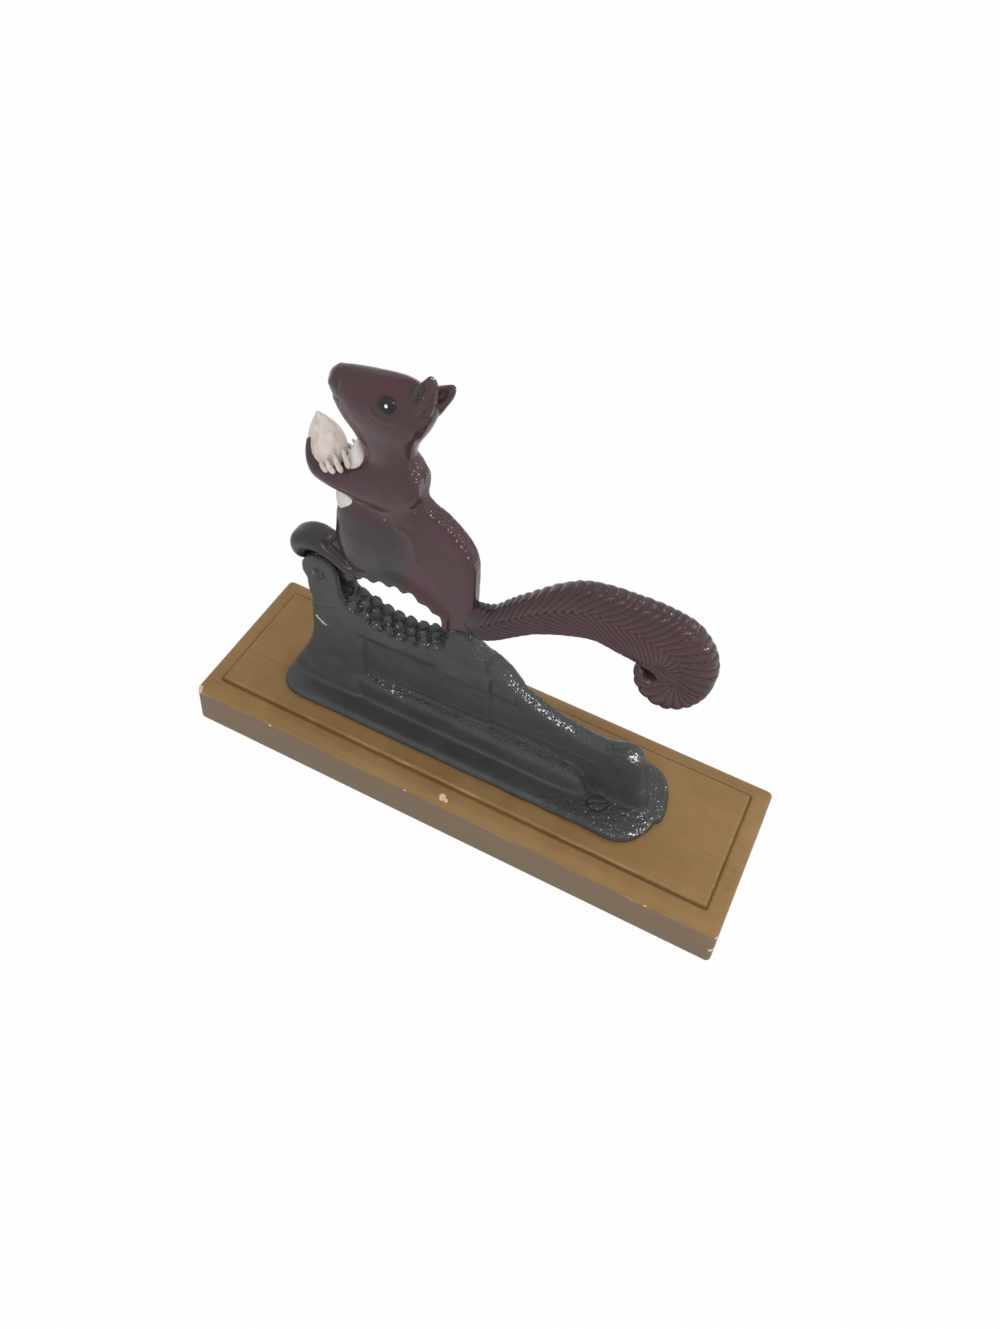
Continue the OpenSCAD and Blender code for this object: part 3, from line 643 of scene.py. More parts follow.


# Black dipped enamel: two close colours in soft patches, darker in hollows as painted shade,
# glossiest on the grain
ENAMEL_SPECULAR = 0.32
black = Finish("black_enamel")
pool = rgb(60, 62, 61)
colour = black.blend(black.span(black.clouds(16, detail=3), 0.35, 0.7), rgb(65, 68, 67), pool)
# Painted shade: hollows of the mesh are drawn darker
hollow_shade = black.span(black.read("crest"), -0.1, -0.02, 0.35, 0)
colour = black.blend(hollow_shade, colour, shade(pool, 0.5))
bright_grain(black, colour, rgb(222, 226, 224), 1.15)
wet = black.span(black.sum("ADD", black.read("grain"), black.clouds(5, detail=3)), 0.55, 1.1)
black.put(black.span(wet, 0, 1, 0.41, 0.15), "Roughness")
cast_relief(black, black.clouds(1.0, detail=3, rough=0.6), 0.9, 0.45, 0.4)
casting.data.materials.append(black.material)
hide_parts("base_flange", "pedestal", "upright_web", "rear_post",
            "lever_rest", "clevis_ear_near", "clevis_ear_far")
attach(casting, "stand")

# ---- Biting knobs ----
# The lower jaw is cast with three rows of blunt knobs that grip the shell. They came out of
# the sand a little uneven, and the enamel beads on their tops.


def ball(x, y, z, rx, ry, rz, count):
    """Rings of an ellipsoid: cos and sin of latitude and longitude times its three radii."""
    lat = np.radians(np.linspace(-88, 88, count // 2 + 1))[:, None]
    lon = np.linspace(0, 2 * np.pi, count, endpoint=False)
    return np.stack([x + rx * np.cos(lat) * np.cos(lon), y + ry * np.cos(lat) * np.sin(lon),
                     z + rz * np.sin(lat) + 0 * lon], -1)


# The knobs' places come first, then how far each lies off its place
KNOB_X0, KNOB_PITCH, ROW_PITCH, LAST_X = -71.4, 6.6, 5.2, -23
KNOB_RADII = (3.2, 2.9, 3.3)
knobs, knob_rows = [], []
for row in (-1, 0, 1):
    for i in range(8):
        x = KNOB_X0 + (i + (0.5 if row == 0 else 0)) * KNOB_PITCH
        if x < LAST_X:
            knob_rows.append((x, row * ROW_PITCH, jaw_line(x)))
jitter = np.array(knob_rows)
jitter = np.stack([lumps(jitter * 7.3, 1.0, k) for k in range(3)], 1) * [0.45, 0.3, 0.25]
for (x, y, z), (dx, dy, dz) in zip(knob_rows, jitter):
    knobs.append(ball(x + dx, y + dy, z - 0.4 + dz, *KNOB_RADII, 20))
jaw_block = np.vstack([[[-23, 84], [-74, 84]], jaw_outline[2:] - [0, 0.2]])
knobs.append(plate(jaw_block, eased(7.6, 1.2), 0.8))
jaw = cast("jaw_knobs", knobs, 0.42, 2)
points, normals = surface(jaw)
top = smooth_step(points[:, 2], 88, 90) * smooth_step(normals[:, 2], -0.2, 0.3)
# Bright specks on the knob tops, thicker on the near row, are partly painted glints
sand_grain(jaw, top, 0.14, top * (0.42 + 0.4 * smooth_step(-points[:, 1], -3, 4)))
jaw.data.materials.append(black.material)
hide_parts("lower_jaw")
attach(jaw, "stand")

# ---- Frame screws ----
# Two slotted countersunk steel wood screws hold the flange to the plinth. They were
# enamelled over with the frame, so their slots are half filled.


def turned(profile, count=40):
    """Rings of a turned piece: radius and height along the profile, spun round Z."""
    p = np.asarray(profile, float)
    angle = np.linspace(0, 2 * np.pi, count, endpoint=False)
    return np.stack([p[:, [0]] * np.cos(angle), p[:, [0]] * np.sin(angle),
                     p[:, [1]] + 0 * angle], -1)


screw_crown = [[4.1 * k, 0.35 + 0.35 * (1 - k * k)] for k in np.linspace(0.96, 0.05, 26)]
screw_rings = turned([[0.3, -22], [1.2, -18], [2.0, -14], [2.1, -3.2], [2.3, -2.2], [3.3, -1.2],
                      [4.2, -0.3], [4.3, 0.05], [4.2, 0.3]] + screw_crown, 64)
screw_parts, screw_faces = [], []
for sx, sy, angle in SCREWS:
    rings = screw_rings.copy()
    across = rings[..., 0] * math.sin(angle) - rings[..., 1] * math.cos(angle)
    slot = 1 - smooth_step(np.abs(across), 0.45, 0.75)
    head = smooth_step(rings[..., 2], 0.25, 0.36)
    rings[..., 2] -= 0.75 * slot * head
    rings += [sx, sy, FLANGE_Z + 0.15]
    p, f = skin(rings)
    screw_faces += [[k + sum(map(len, screw_parts)) for k in face] for face in f]
    screw_parts.append(p)
screws = new_mesh("flange_screws", np.vstack(screw_parts), screw_faces)
every = np.ones(len(screws.data.vertices))
# The screw heads take bright specks all over, partly painted glints
paint_values(screws, grain=0.7 * every, crest=crest(screws, 1), glint=0.75 * every)
screws.data.materials.append(black.material)
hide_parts("frame_screws")
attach(screws, "stand")

# ---- Hinge pin ----
# A soft steel rivet through both ears and the squirrel's foot, with its ends hammered to
# low domes and enamelled over. A rub on each dome shows the steel.
PIN_R, HEAD_R, HEAD_Y, HEAD_RISE = 2.4, 3.35, 8.05, 1.25
dome = [[HEAD_R * math.cos(a), HEAD_Y + HEAD_RISE * math.sin(a)]
        for a in np.radians([0, 12, 25, 38, 50, 62, 74, 88])]
pin_profile = ([[r, -h] for r, h in dome[::-1]]
               + [[3.2, -7.9], [PIN_R, -7.85], [PIN_R, 7.85], [3.2, 7.9]] + dome)
rings = turned(pin_profile, 40)
rings = np.stack([rings[..., 0] + HINGE[0], rings[..., 2], rings[..., 1] + HINGE[2]], -1)
pin = new_mesh("hinge_rivet", *skin(rings))
points, normals = surface(pin)
move(pin, points + normals * 0.08 * lumps(points, 1.8, 9)[:, None])
rivet = Finish("rubbed_rivet")
rub_and_glint = rivet.span(rivet.clouds(1.6, detail=3), 0.56, 0.68)
rivet.put(rivet.blend(rub_and_glint, rgb(34, 37, 36), rgb(96, 96, 94)), "Base Color")
rivet.put(rub_and_glint, "Metallic")
rivet.put(rivet.span(rivet.clouds(1.0), 0.3, 0.7, 0.2, 0.38), "Roughness")
rivet.put(rivet.bump(rivet.clouds(0.8), 0.12, 0.6), "Normal")
pin.data.materials.append(rivet.material)
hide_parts("hinge_pin")
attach(pin, "stand")

# ---- Squirrel casting ----
# The lever is a second iron casting: the seated squirrel from knuckle and toes to the ears,
# thin and flat in the body, full in the head. It is enamelled maroon, in a darker grey tone on the
# haunch, toes and arm.


def lever(rings):
    """Shifts rings drawn from the hinge pin to their place on the stand."""
    return rings + HINGE


u = np.linspace(0, 1, 25)
mouth = np.stack([18.5 + 49 * u, 7 + 10.5 * np.sin(np.pi * u ** 0.75) - 2.3 * u * u], 1)
belly_line = curve([[7.4, 24], [8.0, 30], [8.8, 36], [9.3, 41], [10.4, 46], [14, 57], [19.5, 68],
                    [24.5, 78]], 4)
back_line = curve([[50.6, 76], [51.8, 68], [54.8, 63.4], [62, 60.0], [69.2, 55.0], [74.6, 48.0],
                   [77.4, 41], [78.4, 30], [78.6, 18]], 4)
torso_outline = np.vstack([
    [[8, 20]], belly_line, [[47.4, 80]], back_line,
    [[78.4, -3.0], [73, -4.8], [70.8, -5.3], [62.4, -5.2]], mouth[::-1] + [0, -0.4]])
# The scalloped edge that bites: the mean line, then two waves of teeth that fade at the rump
JAW_EDGE = np.array([[18, 4.6], [23, 6.4], [28.2, 8.4], [35.6, 9.4], [45.5, 10.6], [53.3, 8.2],
                     [57.5, 5.4], [60, 4.2], [62.6, 3.9], [63.8, 2.6], [64.4, -2.6], [65.2, -5.2],
                     [68, -5.4]])
u = np.linspace(0, 1, 121)
jaw_x = 18.5 + 49.3 * u
TOOTH, SLOW_WAVE = 8.1, 13
teeth = 1.25 * np.cos(2 * np.pi * (jaw_x - 28.4) / TOOTH)
teeth = teeth + 0.35 * np.cos(2 * np.pi * (jaw_x - 30) / SLOW_WAVE)
jaw_low = np.interp(jaw_x, JAW_EDGE[:, 0], JAW_EDGE[:, 1]) - teeth * np.clip((61 - jaw_x) / 2, 0, 1)
jaw_top = np.interp(jaw_x, mouth[:, 0], mouth[:, 1]) + 1.0
jaw_outline = np.vstack([np.stack([jaw_x, jaw_top], 1), np.stack([jaw_x, jaw_low], 1)[::-1]])
KNUCKLE_R = 8.4
knuckle_outline = np.vstack([arc(KNUCKLE_R, np.arange(90, 361, 10)),
                             [[13, -3.5], [19, 1.5], [20, 7.5], [11, 25], [4, 17]]])
toe_stations = [[-13.8, 1.8, -8, -0.5, 3.0], [-16.2, 3.8, -9.8, 1.5, 5.2],
                [-17.4, 8.7, -9.5, 4, 6.2], [-16.2, 14.4, -7, 8, 6.8],
                [-10.6, 18.6, -2.4, 10.4, 7.2], [-4, 19.6, 3.4, 10, 7.2],
                [3, 17.2, 7.6, 7.4, 6.8], [9, 12.4, 11, 4.4, 5.5]]
foot_stations = [[-6, 19, -3, 10.2, 5.0], [0, 19.4, 3.4, 9.8, 6.6], [5.5, 16.6, 7.6, 7.2, 6.8],
                 [10, 13.6, 11.4, 4.4, 6.6], [15, 10.6, 16, 2.6, 6.2], [21, 9, 21, 3, 5.0]]
haunch_stations = [[18, 7, 27, 9, 4.4], [11.6, 13, 34, 13, 6.6], [8.6, 24, 41, 23, 7.8],
                   [8.6, 35, 46, 34, 8.0], [10.6, 44, 45, 45, 7.4], [17, 52, 40, 53, 5.6],
                   [24, 57, 34, 58, 4.2]]
belly_stations = [[24, 16, 62, 10, 4.1], [16, 28, 68, 26, 5.0], [16, 42, 64, 42, 5.6],
                  [20, 54, 57, 54, 6.2], [24, 62, 52, 62, 6.4]]
arm_stations = [[51.4, 78, 51.6, 67, 3.2], [46.6, 83.0, 47.8, 60, 7.4], [39, 83, 40.6, 55.2, 9.0],
                [30, 78.6, 31, 53.6, 9.3], [21, 72.6, 20.6, 54.6, 9.2],
                [12.8, 68.8, 10, 56.0, 8.8], [6.4, 70.4, 1.6, 58.8, 8.6],
                [3.4, 74.0, -1.4, 64.6, 8.2], [2.9, 77.6, -1.8, 71, 7.4],
                [2.4, 80.6, -1.0, 78.2, 5.4]]
head_stations = [[25.4, 70, 51, 72, 5.4], [24.0, 77, 49.0, 78, 6.2], [22.4, 83, 47.0, 84.5, 6.6],
                 [19.2, 88.5, 47.6, 89.5, 7.2], [14.8, 94, 49.6, 94.5, 8.0],
                 [11.2, 99.6, 52.8, 100, 8.9], [9.6, 104.6, 55.0, 105, 9.4],
                 [9.0, 109.0, 56.0, 109.5, 9.2], [10.0, 112.9, 55.2, 114.8, 7.9],
                 [12.4, 115.4, 51.6, 118.4, 5.9], [17, 117.0, 47.6, 121.0, 3.6],
                 [24, 118.6, 44.4, 122.2, 1.5]]
collar_stations = [[40, 66, 52.4, 66, 4.8], [41, 72, 51.4, 72, 5.6], [41, 78, 50.4, 78, 6.0],
                   [41, 82, 49.0, 82, 6.0], [42, 84.4, 47.6, 84.4, 5.2]]
# Knuckle, toes, foot, upper jaw, torso, haunch, belly, collar and head
shells = [
    plate(knuckle_outline, eased(3.7, 0.6)),
    loft(toe_stations, square=2.8),
    loft(foot_stations, square=2.8),
    plate(jaw_outline, eased(6.4, 2.4), 0.7),
    plate(torso_outline, [[4.5, -4.3], [2.6, -4.2], [0.9, -3.5], [0, -2.4], [0, 2.4], [0.9, 3.5],
                          [2.6, 4.2], [4.5, 4.3]]),
    loft(haunch_stations, square=2.4),
    loft(belly_stations, square=2.6),
    loft(collar_stations, square=4),
    loft(head_stations, square=2.25, thin_front=0.26),
]
shells = [lever(s) for s in shells]
for side in (-1, 1):
    arm = loft([s[:4] + [s[4] / 2 + 1.0] for s in arm_stations], square=2.3)
    arm[..., 1] += side * 3.0
    shells.append(lever(arm))
near_ear = [[45.0, 114.6, 55.6, 112, 3.6], [47.4, 119.4, 57.4, 117.4, 3.6],
            [50.0, 123.6, 58.2, 122.8, 2.9], [52.6, 127.2, 57.8, 127, 1.9],
            [54.4, 129.4, 56.4, 129.2, 0.9]]
far_ear = [[47, 114, 55.4, 106.5, 3.4], [51.5, 118.0, 58.0, 111.6, 3.2],
           [55.4, 120.2, 60.2, 115.8, 2.5], [58.8, 122.0, 61.2, 118.8, 1.5],
           [60.4, 122.6, 61.4, 121.2, 0.8]]
shells.append(lever(loft(near_ear, count=24, y=-3.8)))
shells.append(lever(loft(far_ear, count=24, y=4.4)))
squirrel = cast("squirrel_casting", shells, 0.55, 5)

# Lines of the modelling, drawn from the pin in side view: path, width, height (grooves < 0)
STROKES = (
    ([[9.6, 103.8], [12.6, 103.6], [16, 104.6]], 0.9, -0.6),  # lips
    ([[10.6, 108.6], [12.6, 111.4], [13.4, 114.6]], 1.4, 0.45),  # muzzle
    ([[15.6, 110.8], [16.6, 112.2]], 0.8, -0.5),  # nostril
    ([[30.6, 111.0], [33.2, 107.9], [38, 106.4], [42.8, 107.4], [47.0, 111.2]], 1.0, 0.28),  # lid
    ([[31.2, 112.9], [34, 109.6], [38.4, 108.2], [42.6, 109.6], [45.4, 112.8]], 0.7, -0.3),  # fold
    ([[31.8, 115.2], [35, 117.4], [39, 118.2], [43.4, 117]], 1.2, 0.22),  # brow
    ([[42.6, 48.4], [46.4, 47.4], [49.0, 43.6], [49.8, 38], [50.4, 31]], 1.6, 0.4),  # haunch
    ([[3.6, 18.6], [6.4, 16.6], [10.6, 14.0], [15, 10.8], [20, 9.8]], 0.9, -0.4),  # toes from foot
    ([[49.6, 118.2], [51.2, 121.4], [52.6, 124]], 1.8, -1.7),  # near ear cup
    ([[54.4, 113.8], [56.6, 116.6], [58.0, 118.4]], 1.2, -0.7),  # far ear cup
    ([[50.2, 87.4], [49.6, 93], [50.8, 99.4], [52.4, 105.6]], 0.9, -0.3),  # nape
)


def soften(obj, weight, rounds):
    """Eases creases: each point goes towards the mean of its neighbours by its weight."""
    points, _ = surface(obj)
    mean = neighbour_mean(obj)
    for _ in range(rounds):
        for k in range(3):
            points[:, k] += weight * (mean(points[:, k]) - points[:, k])
    move(obj, points)


points, normals = surface(squirrel)
x, y, z = (points - HINGE).T
# Neck and flank run smoothly from arm to head and from haunch to back
neck = within(z, 43, 50, 88, 100) * smooth_step(x - 0.2 * z, -4, 8) * smooth_step(-x, -51, -44)
flank = within(z, 14 - 0.1 * x, 20, 50, 62) * smooth_step(x, 12, 18) * smooth_step(-x, -72, -62)
soften(squirrel, 0.6 * np.clip(neck + flank, 0, 1) * smooth_step(np.abs(y), 1.5, 3.5), 60)
points, normals = surface(squirrel)
for path, width, depth in STROKES:
    points = points + normals * stroke(points, normals, path, width, depth)[:, None]
points = points + normals * (0.2 * lumps(points, 9, 4) + 0.06 * lumps(points, 3.0, 5))[:, None]
x, y, z = (points - HINGE).T
across = np.abs(normals[:, 1])
back_face = smooth_step(x - 0.35 * z, 26, 34) * smooth_step(z, 36, 44)
back_face = back_face * smooth_step(-across, -0.92, -0.6)
points = points + normals * (0.16 * back_face * lumps(points, 1.5, 14))[:, None]
move(squirrel, points)
x, y, z = (points - HINGE).T
# Near-black on the foot's lower part round the pin, and painted shade in the near ear's cup; a
# darker grey tone on the haunch, toes and arm; bright specks, partly wear and partly painted
# glints, on the back's two edges, collar, ear rims, foot and thigh
cup_shade = stroke(points, normals, [[49.6, 118.2], [51.2, 121.4], [52.2, 123.4]], 1.7, 1.0) * (y < -2)
under = smooth_step(16.8 - x - z, -1.2, 1) * smooth_step(x - 0.4 * z, -19, -14)
under = np.clip(under + smooth_step(2.8 - z, -1, 1), 0, 1)
under = under * smooth_step(25 - x, -2, 2) * smooth_step(-z, -12, -9.6)
haunch = smooth_step(-z, -52, -40) * smooth_step(-x, -50, -38)
toes = smooth_step(-z, -14, -2) * smooth_step(-x, -60, -45)
paw = 0.8 * smooth_step(-x, -10, -4) * within(z, 62, 68, 84, 90)
collar = smooth_step(x, 45, 48) * within(z, 70, 76, 84, 88)
ears = smooth_step(x, 48, 51) * smooth_step(z, 114, 118)
chains = np.exp(-((across - 0.82) / 0.12) ** 2) + np.exp(-((across - 0.3) / 0.16) ** 2)
band = smooth_step(x - 0.2 * z, 32, 40) * within(z, 34, 44, 62, 68) * np.clip(chains, 0, 1)
foot = stroke(points, normals, [[-9, 17], [-2, 18.2], [4, 14.4], [10, 9.6]], 2.0, 1.0)
foot = foot * smooth_step(normals[:, 2], -0.1, 0.5)
thigh = stroke(points, normals, [[28, 52], [36, 51], [41, 46.6], [42.6, 38]], 1.1, 1.0) * (y < 0)
ear_rim = ears * smooth_step(crest(squirrel, 1), 0.01, 0.05)
# Bright specks, partly wear and partly painted glints, on the back's edges, collar, ear rims, foot
# and thigh
bright = 1.2 * band + 0.8 * collar * smooth_step(-across, -0.9, -0.6) + 0.85 * ear_rim
paint_values(squirrel, glint=np.clip(bright + 0.62 * foot + 0.55 * thigh, 0, 1.1),
             grain=np.clip(0.12 + back_face + 0.7 * collar + 0.7 * ears, 0, 1),
             crest=crest(squirrel, 2), dark=np.clip(haunch + toes + paw, 0, 1),
             soot=np.maximum(under, 0.85 * cup_shade))

maroon = Finish("maroon_enamel")
patch = maroon.clouds(22, detail=3)
red = maroon.blend(maroon.span(patch, 0.38, 0.68), rgb(68, 47, 49), rgb(75, 46, 53))
# A darker grey tone where dark is 1, on the haunch, toes and arm
dark_grey_tone = maroon.blend(maroon.span(patch, 0.35, 0.7), rgb(50, 48, 48), rgb(58, 48, 50))
colour = maroon.blend(maroon.read("dark"), red, dark_grey_tone)
# Near-black on the foot's lower part round the pin, and painted shade in the near ear's cup
colour = maroon.blend(maroon.read("soot"), colour, rgb(50, 52, 51))
# Painted shade: hollows of the mesh are drawn darker
hollow_shade = maroon.span(maroon.read("crest"), -0.08, -0.012, 0.6, 0)
colour = maroon.blend(hollow_shade, colour, rgb(38, 29, 30))
# Painted highlight: crests of the mesh are drawn lighter and pinker
crest_highlight = maroon.span(maroon.read("crest"), 0.012, 0.06, 0, 0.35)
colour = maroon.blend(crest_highlight, colour, rgb(102, 64, 74))
bright_grain(maroon, colour, rgb(226, 205, 208), 1.1)
maroon.put(maroon.span(maroon.clouds(6, detail=3), 0.3, 0.7, 0.15, 0.24), "Roughness")
cast_relief(maroon, maroon.clouds(1.3, detail=3), 0.8, 0.25, 0.35)
squirrel.data.materials.append(maroon.material)
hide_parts("foot_knuckle", "toes", "upper_jaw", "torso", "haunch_near", "haunch_far",
            "arm_near", "arm_far", "head", "ear_near", "ear_far")
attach(squirrel, "lever")

# ---- Tail handle ----
# The lever's handle is the tail of the same casting. Rounded barbs leave a sunk spine on each
# flank in a herringbone, as they were carved in the pattern, and fan out round the curl.
TAIL_X = 77.0
tail_stations = [[-5, 14, -4, -3.5, 3.6], [0, 15, 0, -3.8, 4.6], [9, 17.8, 10, -3.0, 5.6],
                 [19.3, 29.0, 33.0, 16.6, 6.6], [44, 52.2, 55.4, 27.2, 7.2],
                 [68.5, 58.0, 67, 26.6, 7.4], [93, 57.2, 75, 25.0, 7.4],
                 [104.4, 48.6, 81.0, 24.4, 7.4], [109.6, 37.5, 84.3, 23.6, 7.4],
                 [110.2, 26.5, 85.5, 22.8, 7.4], [107.6, 16.8, 85.8, 21.8, 7.4],
                 [102.0, 9.2, 85.4, 20.5, 7.4], [95, 5.2, 85, 20.5, 7.1],
                 [88.2, 5.4, 82.5, 21.5, 6.8], [82.4, 8.4, 81.2, 23.2, 6.3],
                 [78.8, 12.8, 80.4, 24.6, 5.6], [77.0, 17.6, 79.2, 26, 4.6],
                 [76.4, 21.2, 78.4, 27, 3.2]]
SPINE = curve([[-4.6, -0.3], [8.5, 9], [18.1, 18.6], [25.5, 26.6], [32, 32.4], [42.1, 39.9],
               [52.6, 44.9], [60.4, 46.3], [68.3, 45.8], [76, 45.4], [84.1, 43.7], [90.8, 41.2],
               [95.2, 36.8], [97, 31.9], [96.1, 27.3]], 8)
tail_rings = lever(loft(tail_stations, count=60, square=2.8) + [TAIL_X, 0, 0])
tail = cast("tail_casting", [tail_rings], 0.42, 3)


def barbs(points):
    """Three numbers for each point of the flank: the barb phase, a whole number in every
    groove, the distance to the spine, and the share of the way along it. Beside the spine
    the phase is that of the spine k d before, with d the distance and k the barbs' lean;
    past its end it grows with the angle round the end, 11 barbs to the half turn."""
    p = points[:, [0, 2]] - HINGE[[0, 2]] - [TAIL_X, 0]
    step = np.hypot(*np.diff(SPINE, axis=0).T)
    along = np.concatenate([[0], np.cumsum(step)])
    share = along / along[-1]
    pitch = np.interp(share, [0, 0.55, 0.8, 1], [4.5, 4.4, 3.4, 2.7])
    count = np.concatenate([[0], np.cumsum(step / (pitch[1:] + pitch[:-1]) * 2)])
    best, at, side = np.full(len(p), 1e9), np.zeros(len(p)), np.zeros(len(p))
    for k, (a, b) in enumerate(zip(SPINE[:-1], SPINE[1:])):
        ab = b - a
        t = np.clip(((p - a) @ ab) / (ab @ ab), 0, 1)
        e = p - a - t[:, None] * ab
        far = np.hypot(*e.T)
        near = far < best
        best = np.where(near, far, best)
        at = np.where(near, along[k] + t * step[k], at)
        side = np.where(near, np.sign(ab[0] * e[:, 1] - ab[1] * e[:, 0]), side)
    share_at = at / along[-1]
    lean = np.where(side > 0, np.interp(share_at, [0, 0.5, 0.75, 1], [1.75, 1.6, 0.8, 0]),
                    np.interp(share_at, [0, 0.7, 1], [1.75, 1.5, 0]))
    phase = np.interp(at - lean * best, along, count, left=-99)
    phase = np.where(phase < -50, (at - lean * best) / 4.4, phase)
    end = SPINE[-1]
    ahead = (SPINE[-1] - SPINE[-3]) / np.hypot(*(SPINE[-1] - SPINE[-3]))
    outward = np.array([-ahead[1], ahead[0]])
    e = p - end
    turn = np.arctan2(e @ ahead, e @ outward)
    past = (e @ ahead > 0) & (share_at > 0.999)
    return np.where(past, count[-1] + turn * 11 / np.pi, phase), best, share_at


points, normals = surface(tail)
phase, off, share = barbs(points)
phase = phase + 0.2 * lumps(points, 9, 8)
ridge = np.abs(np.sin(np.pi * phase))
fade = smooth_step(points[:, 0] - HINGE[0], 77, 86)
push = -0.7 * (1 - ridge) ** 1.3 - 0.5 * np.exp(-(off / 1.0) ** 2)
push = push * fade + 0.12 * lumps(points, 5, 6)
move(tail, points + normals * push[:, None])
right_edge = smooth_step(points[:, 0] - HINGE[0], 168, 184)
facing = smooth_step(normals @ [0.45, -0.2, 0.87], 0.55, 0.85)
ridge_light = np.clip((0.66 + 0.45 * right_edge) * facing * smooth_step(ridge, 0.75, 0.98), 0, 1.1)
below = 30 - 0.6 * (points[:, 0] - HINGE[0] - 90) - (points[:, 2] - HINGE[2]) * 0.6
paint_values(tail, grain=0.3 + 0.7 * right_edge, dark=0.75 * smooth_step(below, 0, 22),
             crest=crest(tail, 1), soot=0 * share, glint=ridge_light)
tail.data.materials.append(maroon.material)
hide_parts("tail_handle")
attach(tail, "lever")

# ---- Acorn, claws and chest ----
# The nut in the paws, the claws that hold it and the chest are parts of the squirrel's
# casting picked out by brush in silver-white, a little unevenly.
nut_profile = curve([[0.05, 0], [2.6, 0.2], [5.8, 2.4], [7.5, 6.4], [7.9, 10.4], [6.9, 15.6],
                     [4.1, 20.8], [1.9, 23.8], [0.9, 25.3], [0.1, 26]], 5)
acorn_rings = turned(nut_profile, 56)
NUT_AT, NUT_TILT = [8.5, 0, 64.5], -15
tilt = math.radians(NUT_TILT)
acorn_rings = acorn_rings @ np.array([[math.cos(tilt), 0, -math.sin(tilt)], [0, 1, 0],
                                      [math.sin(tilt), 0, math.cos(tilt)]])
acorn = new_mesh("held_nut", *skin(lever(acorn_rings + NUT_AT)))
points, normals = surface(acorn)
move(acorn, points + normals * 0.12 * lumps(points, 4.2, 7)[:, None])


def brushed_paint(name, light, dark, rough):
    """Brush paint: two close colours in fine strokes, dull, over the casting's grain."""
    coat = Finish(name)
    strokes = coat.clouds((2.5, 2.5, 9), detail=4, rough=0.6)
    colour = coat.blend(coat.span(strokes, 0.35, 0.68), light, dark)
    missed = coat.span(coat.clouds(1.8, detail=4), 0.66, 0.74, 0, 0.8)
    colour = coat.blend(missed, colour, shade(dark, 0.5))
    coat.put(colour, "Base Color")
    coat.put(coat.span(strokes, 0.3, 0.7, rough, rough + 0.14), "Roughness")
    coat.put(coat.bump(strokes, 0.25, 0.7), "Normal")
    return coat


silver = brushed_paint("silver_white_paint", rgb(218, 207, 199), rgb(198, 186, 178), 0.34)
acorn.data.materials.append(silver.material)
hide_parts("acorn")
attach(acorn, "lever")

# Four claws on each paw: root, knuckle and tip from the pin
CLAWS = (((19.6, 6.2, 72.4), (19.4, 7.4, 76.8), (16.8, 6.2, 81.0)),
         ((16.6, 7.4, 69.6), (15.6, 8.3, 73.6), (13.0, 7.0, 77.2)),
         ((13.4, 8.0, 68.0), (11.6, 8.5, 70.8), (9.2, 7.3, 73.4)),
         ((10.2, 7.8, 67.2), (8.2, 8.1, 69.0), (6.2, 7.1, 71.2)))
shells = []
for side in (-1, 1):
    for claw in CLAWS:
        path = curve((np.array(claw) - [0, 0, 1.2 + 1.2 * side]) * [1, side, 1], 8)
        thick = np.interp(np.linspace(0, 1, len(path)), [0, 0.25, 0.7, 1], [0.9, 1.4, 1.1, 0.35])
        turn = np.linspace(0, 2 * np.pi, 14, endpoint=False)
        ahead = np.gradient(path, axis=0)
        ahead /= np.linalg.norm(ahead, axis=1, keepdims=True)
        one = np.cross(ahead, [0, 1, 0])
        one /= np.linalg.norm(one, axis=1, keepdims=True)
        two = np.cross(ahead, one)
        shells.append(lever(path[:, None] + thick[:, None, None] * (
            np.cos(turn)[:, None] * one[:, None] + np.sin(turn)[:, None] * two[:, None])))
claws = cast("claws_casting", shells, 0.35, 2)
claws.data.materials.append(silver.material)
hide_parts("claws")
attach(claws, "lever")

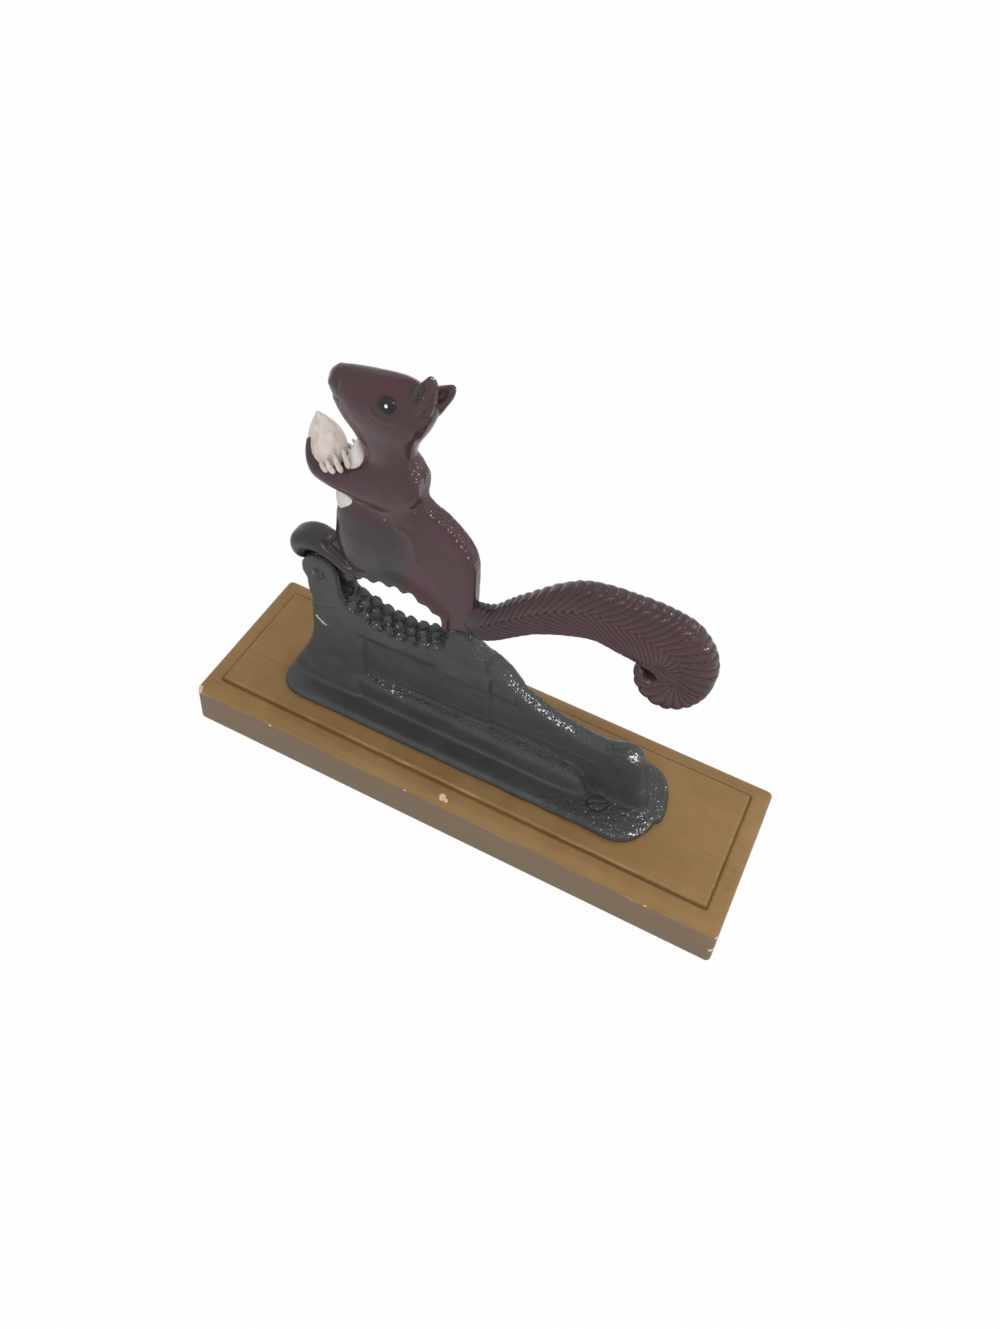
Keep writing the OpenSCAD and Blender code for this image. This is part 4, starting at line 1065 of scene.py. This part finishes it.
bib_upper = loft([[19.0, 67.4, 20.6, 67.4, 3.2], [17.2, 70.0, 22.8, 70.2, 4.9],
                  [16.8, 73, 25.2, 73, 5.6], [17.3, 77.2, 25.4, 77.4, 5.6],
                  [19.3, 81.6, 23.7, 81.8, 4.4], [20.8, 84.6, 22.2, 84.8, 2.2]], count=30)
bib_lower = loft([[11.0, 42.6, 13.6, 42.6, 3.0], [9.6, 45, 17.6, 45, 4.4],
                  [9.0, 48, 21.6, 48.2, 5.0], [8.9, 51, 24, 51.4, 5.0], [9.4, 54.4, 24, 55, 4.6]],
                 count=30)
chest = cast("chest_patches", [lever(bib_upper), lever(bib_lower)], 0.5, 3)
cream = brushed_paint("white_brush_paint", rgb(222, 218, 215), rgb(206, 201, 197), 0.34)
chest.data.materials.append(cream.material)
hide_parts("chest_bib")
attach(chest, "lever")

# ---- Eyes ----
# Raised oval eyes of the head casting, painted black by brush, each with one small white
# dot for a glint.
EYE_AT = [39.3, 0, 113.2]
EYE_L, EYE_H, EYE_RISE = 4.7, 3.7, 1.75
EYE_LINE = np.array([0.87, 0, 0.49])
jet = Finish("soft_black_paint")
points, normals = surface(squirrel)
dots = None
for side, name in ((-1, "eye_near"), (1, "eye_far")):
    flank = points - HINGE - EYE_AT
    here = (np.hypot(flank[:, 0], flank[:, 2]) < 1.6) & (flank[:, 1] * side > 3)
    middle = points[here].mean(0)
    out = normals[here].mean(0)
    out /= np.linalg.norm(out)
    wide = EYE_LINE - out * (out @ EYE_LINE)
    wide /= np.linalg.norm(wide)
    bead = ball(0, 0, 0, EYE_L, EYE_H, EYE_RISE, 44)
    bead[..., 1] *= 1 - 0.24 * (bead[..., 0] / EYE_L) ** 2
    bead = bead @ np.array([wide, np.cross(out, wide), out]) + middle - 0.75 * out
    piece = new_mesh(name + "_bead", *skin(bead))
    piece.data.materials.append(jet.material)
    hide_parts(name)
    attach(piece, "lever")
    here = jet.spot(*(middle + 1.0 * out + 0.3 * wide), 0.7, jet.clouds(3))
    dots = here if dots is None else jet.sum("MAXIMUM", dots, here)
ring = jet.blend(jet.span(jet.clouds(4), 0.3, 0.7), rgb(18, 19, 20), rgb(28, 28, 29))
jet.put(jet.blend(dots, ring, rgb(235, 235, 232)), "Base Color")
jet.put(jet.span(jet.clouds(3), 0.3, 0.7, 0.16, 0.26), "Roughness")
jet.shader.inputs["Specular IOR Level"].default_value = ENAMEL_SPECULAR
jet.put(jet.bump(jet.clouds(2.5), 0.06, 0.5), "Normal")
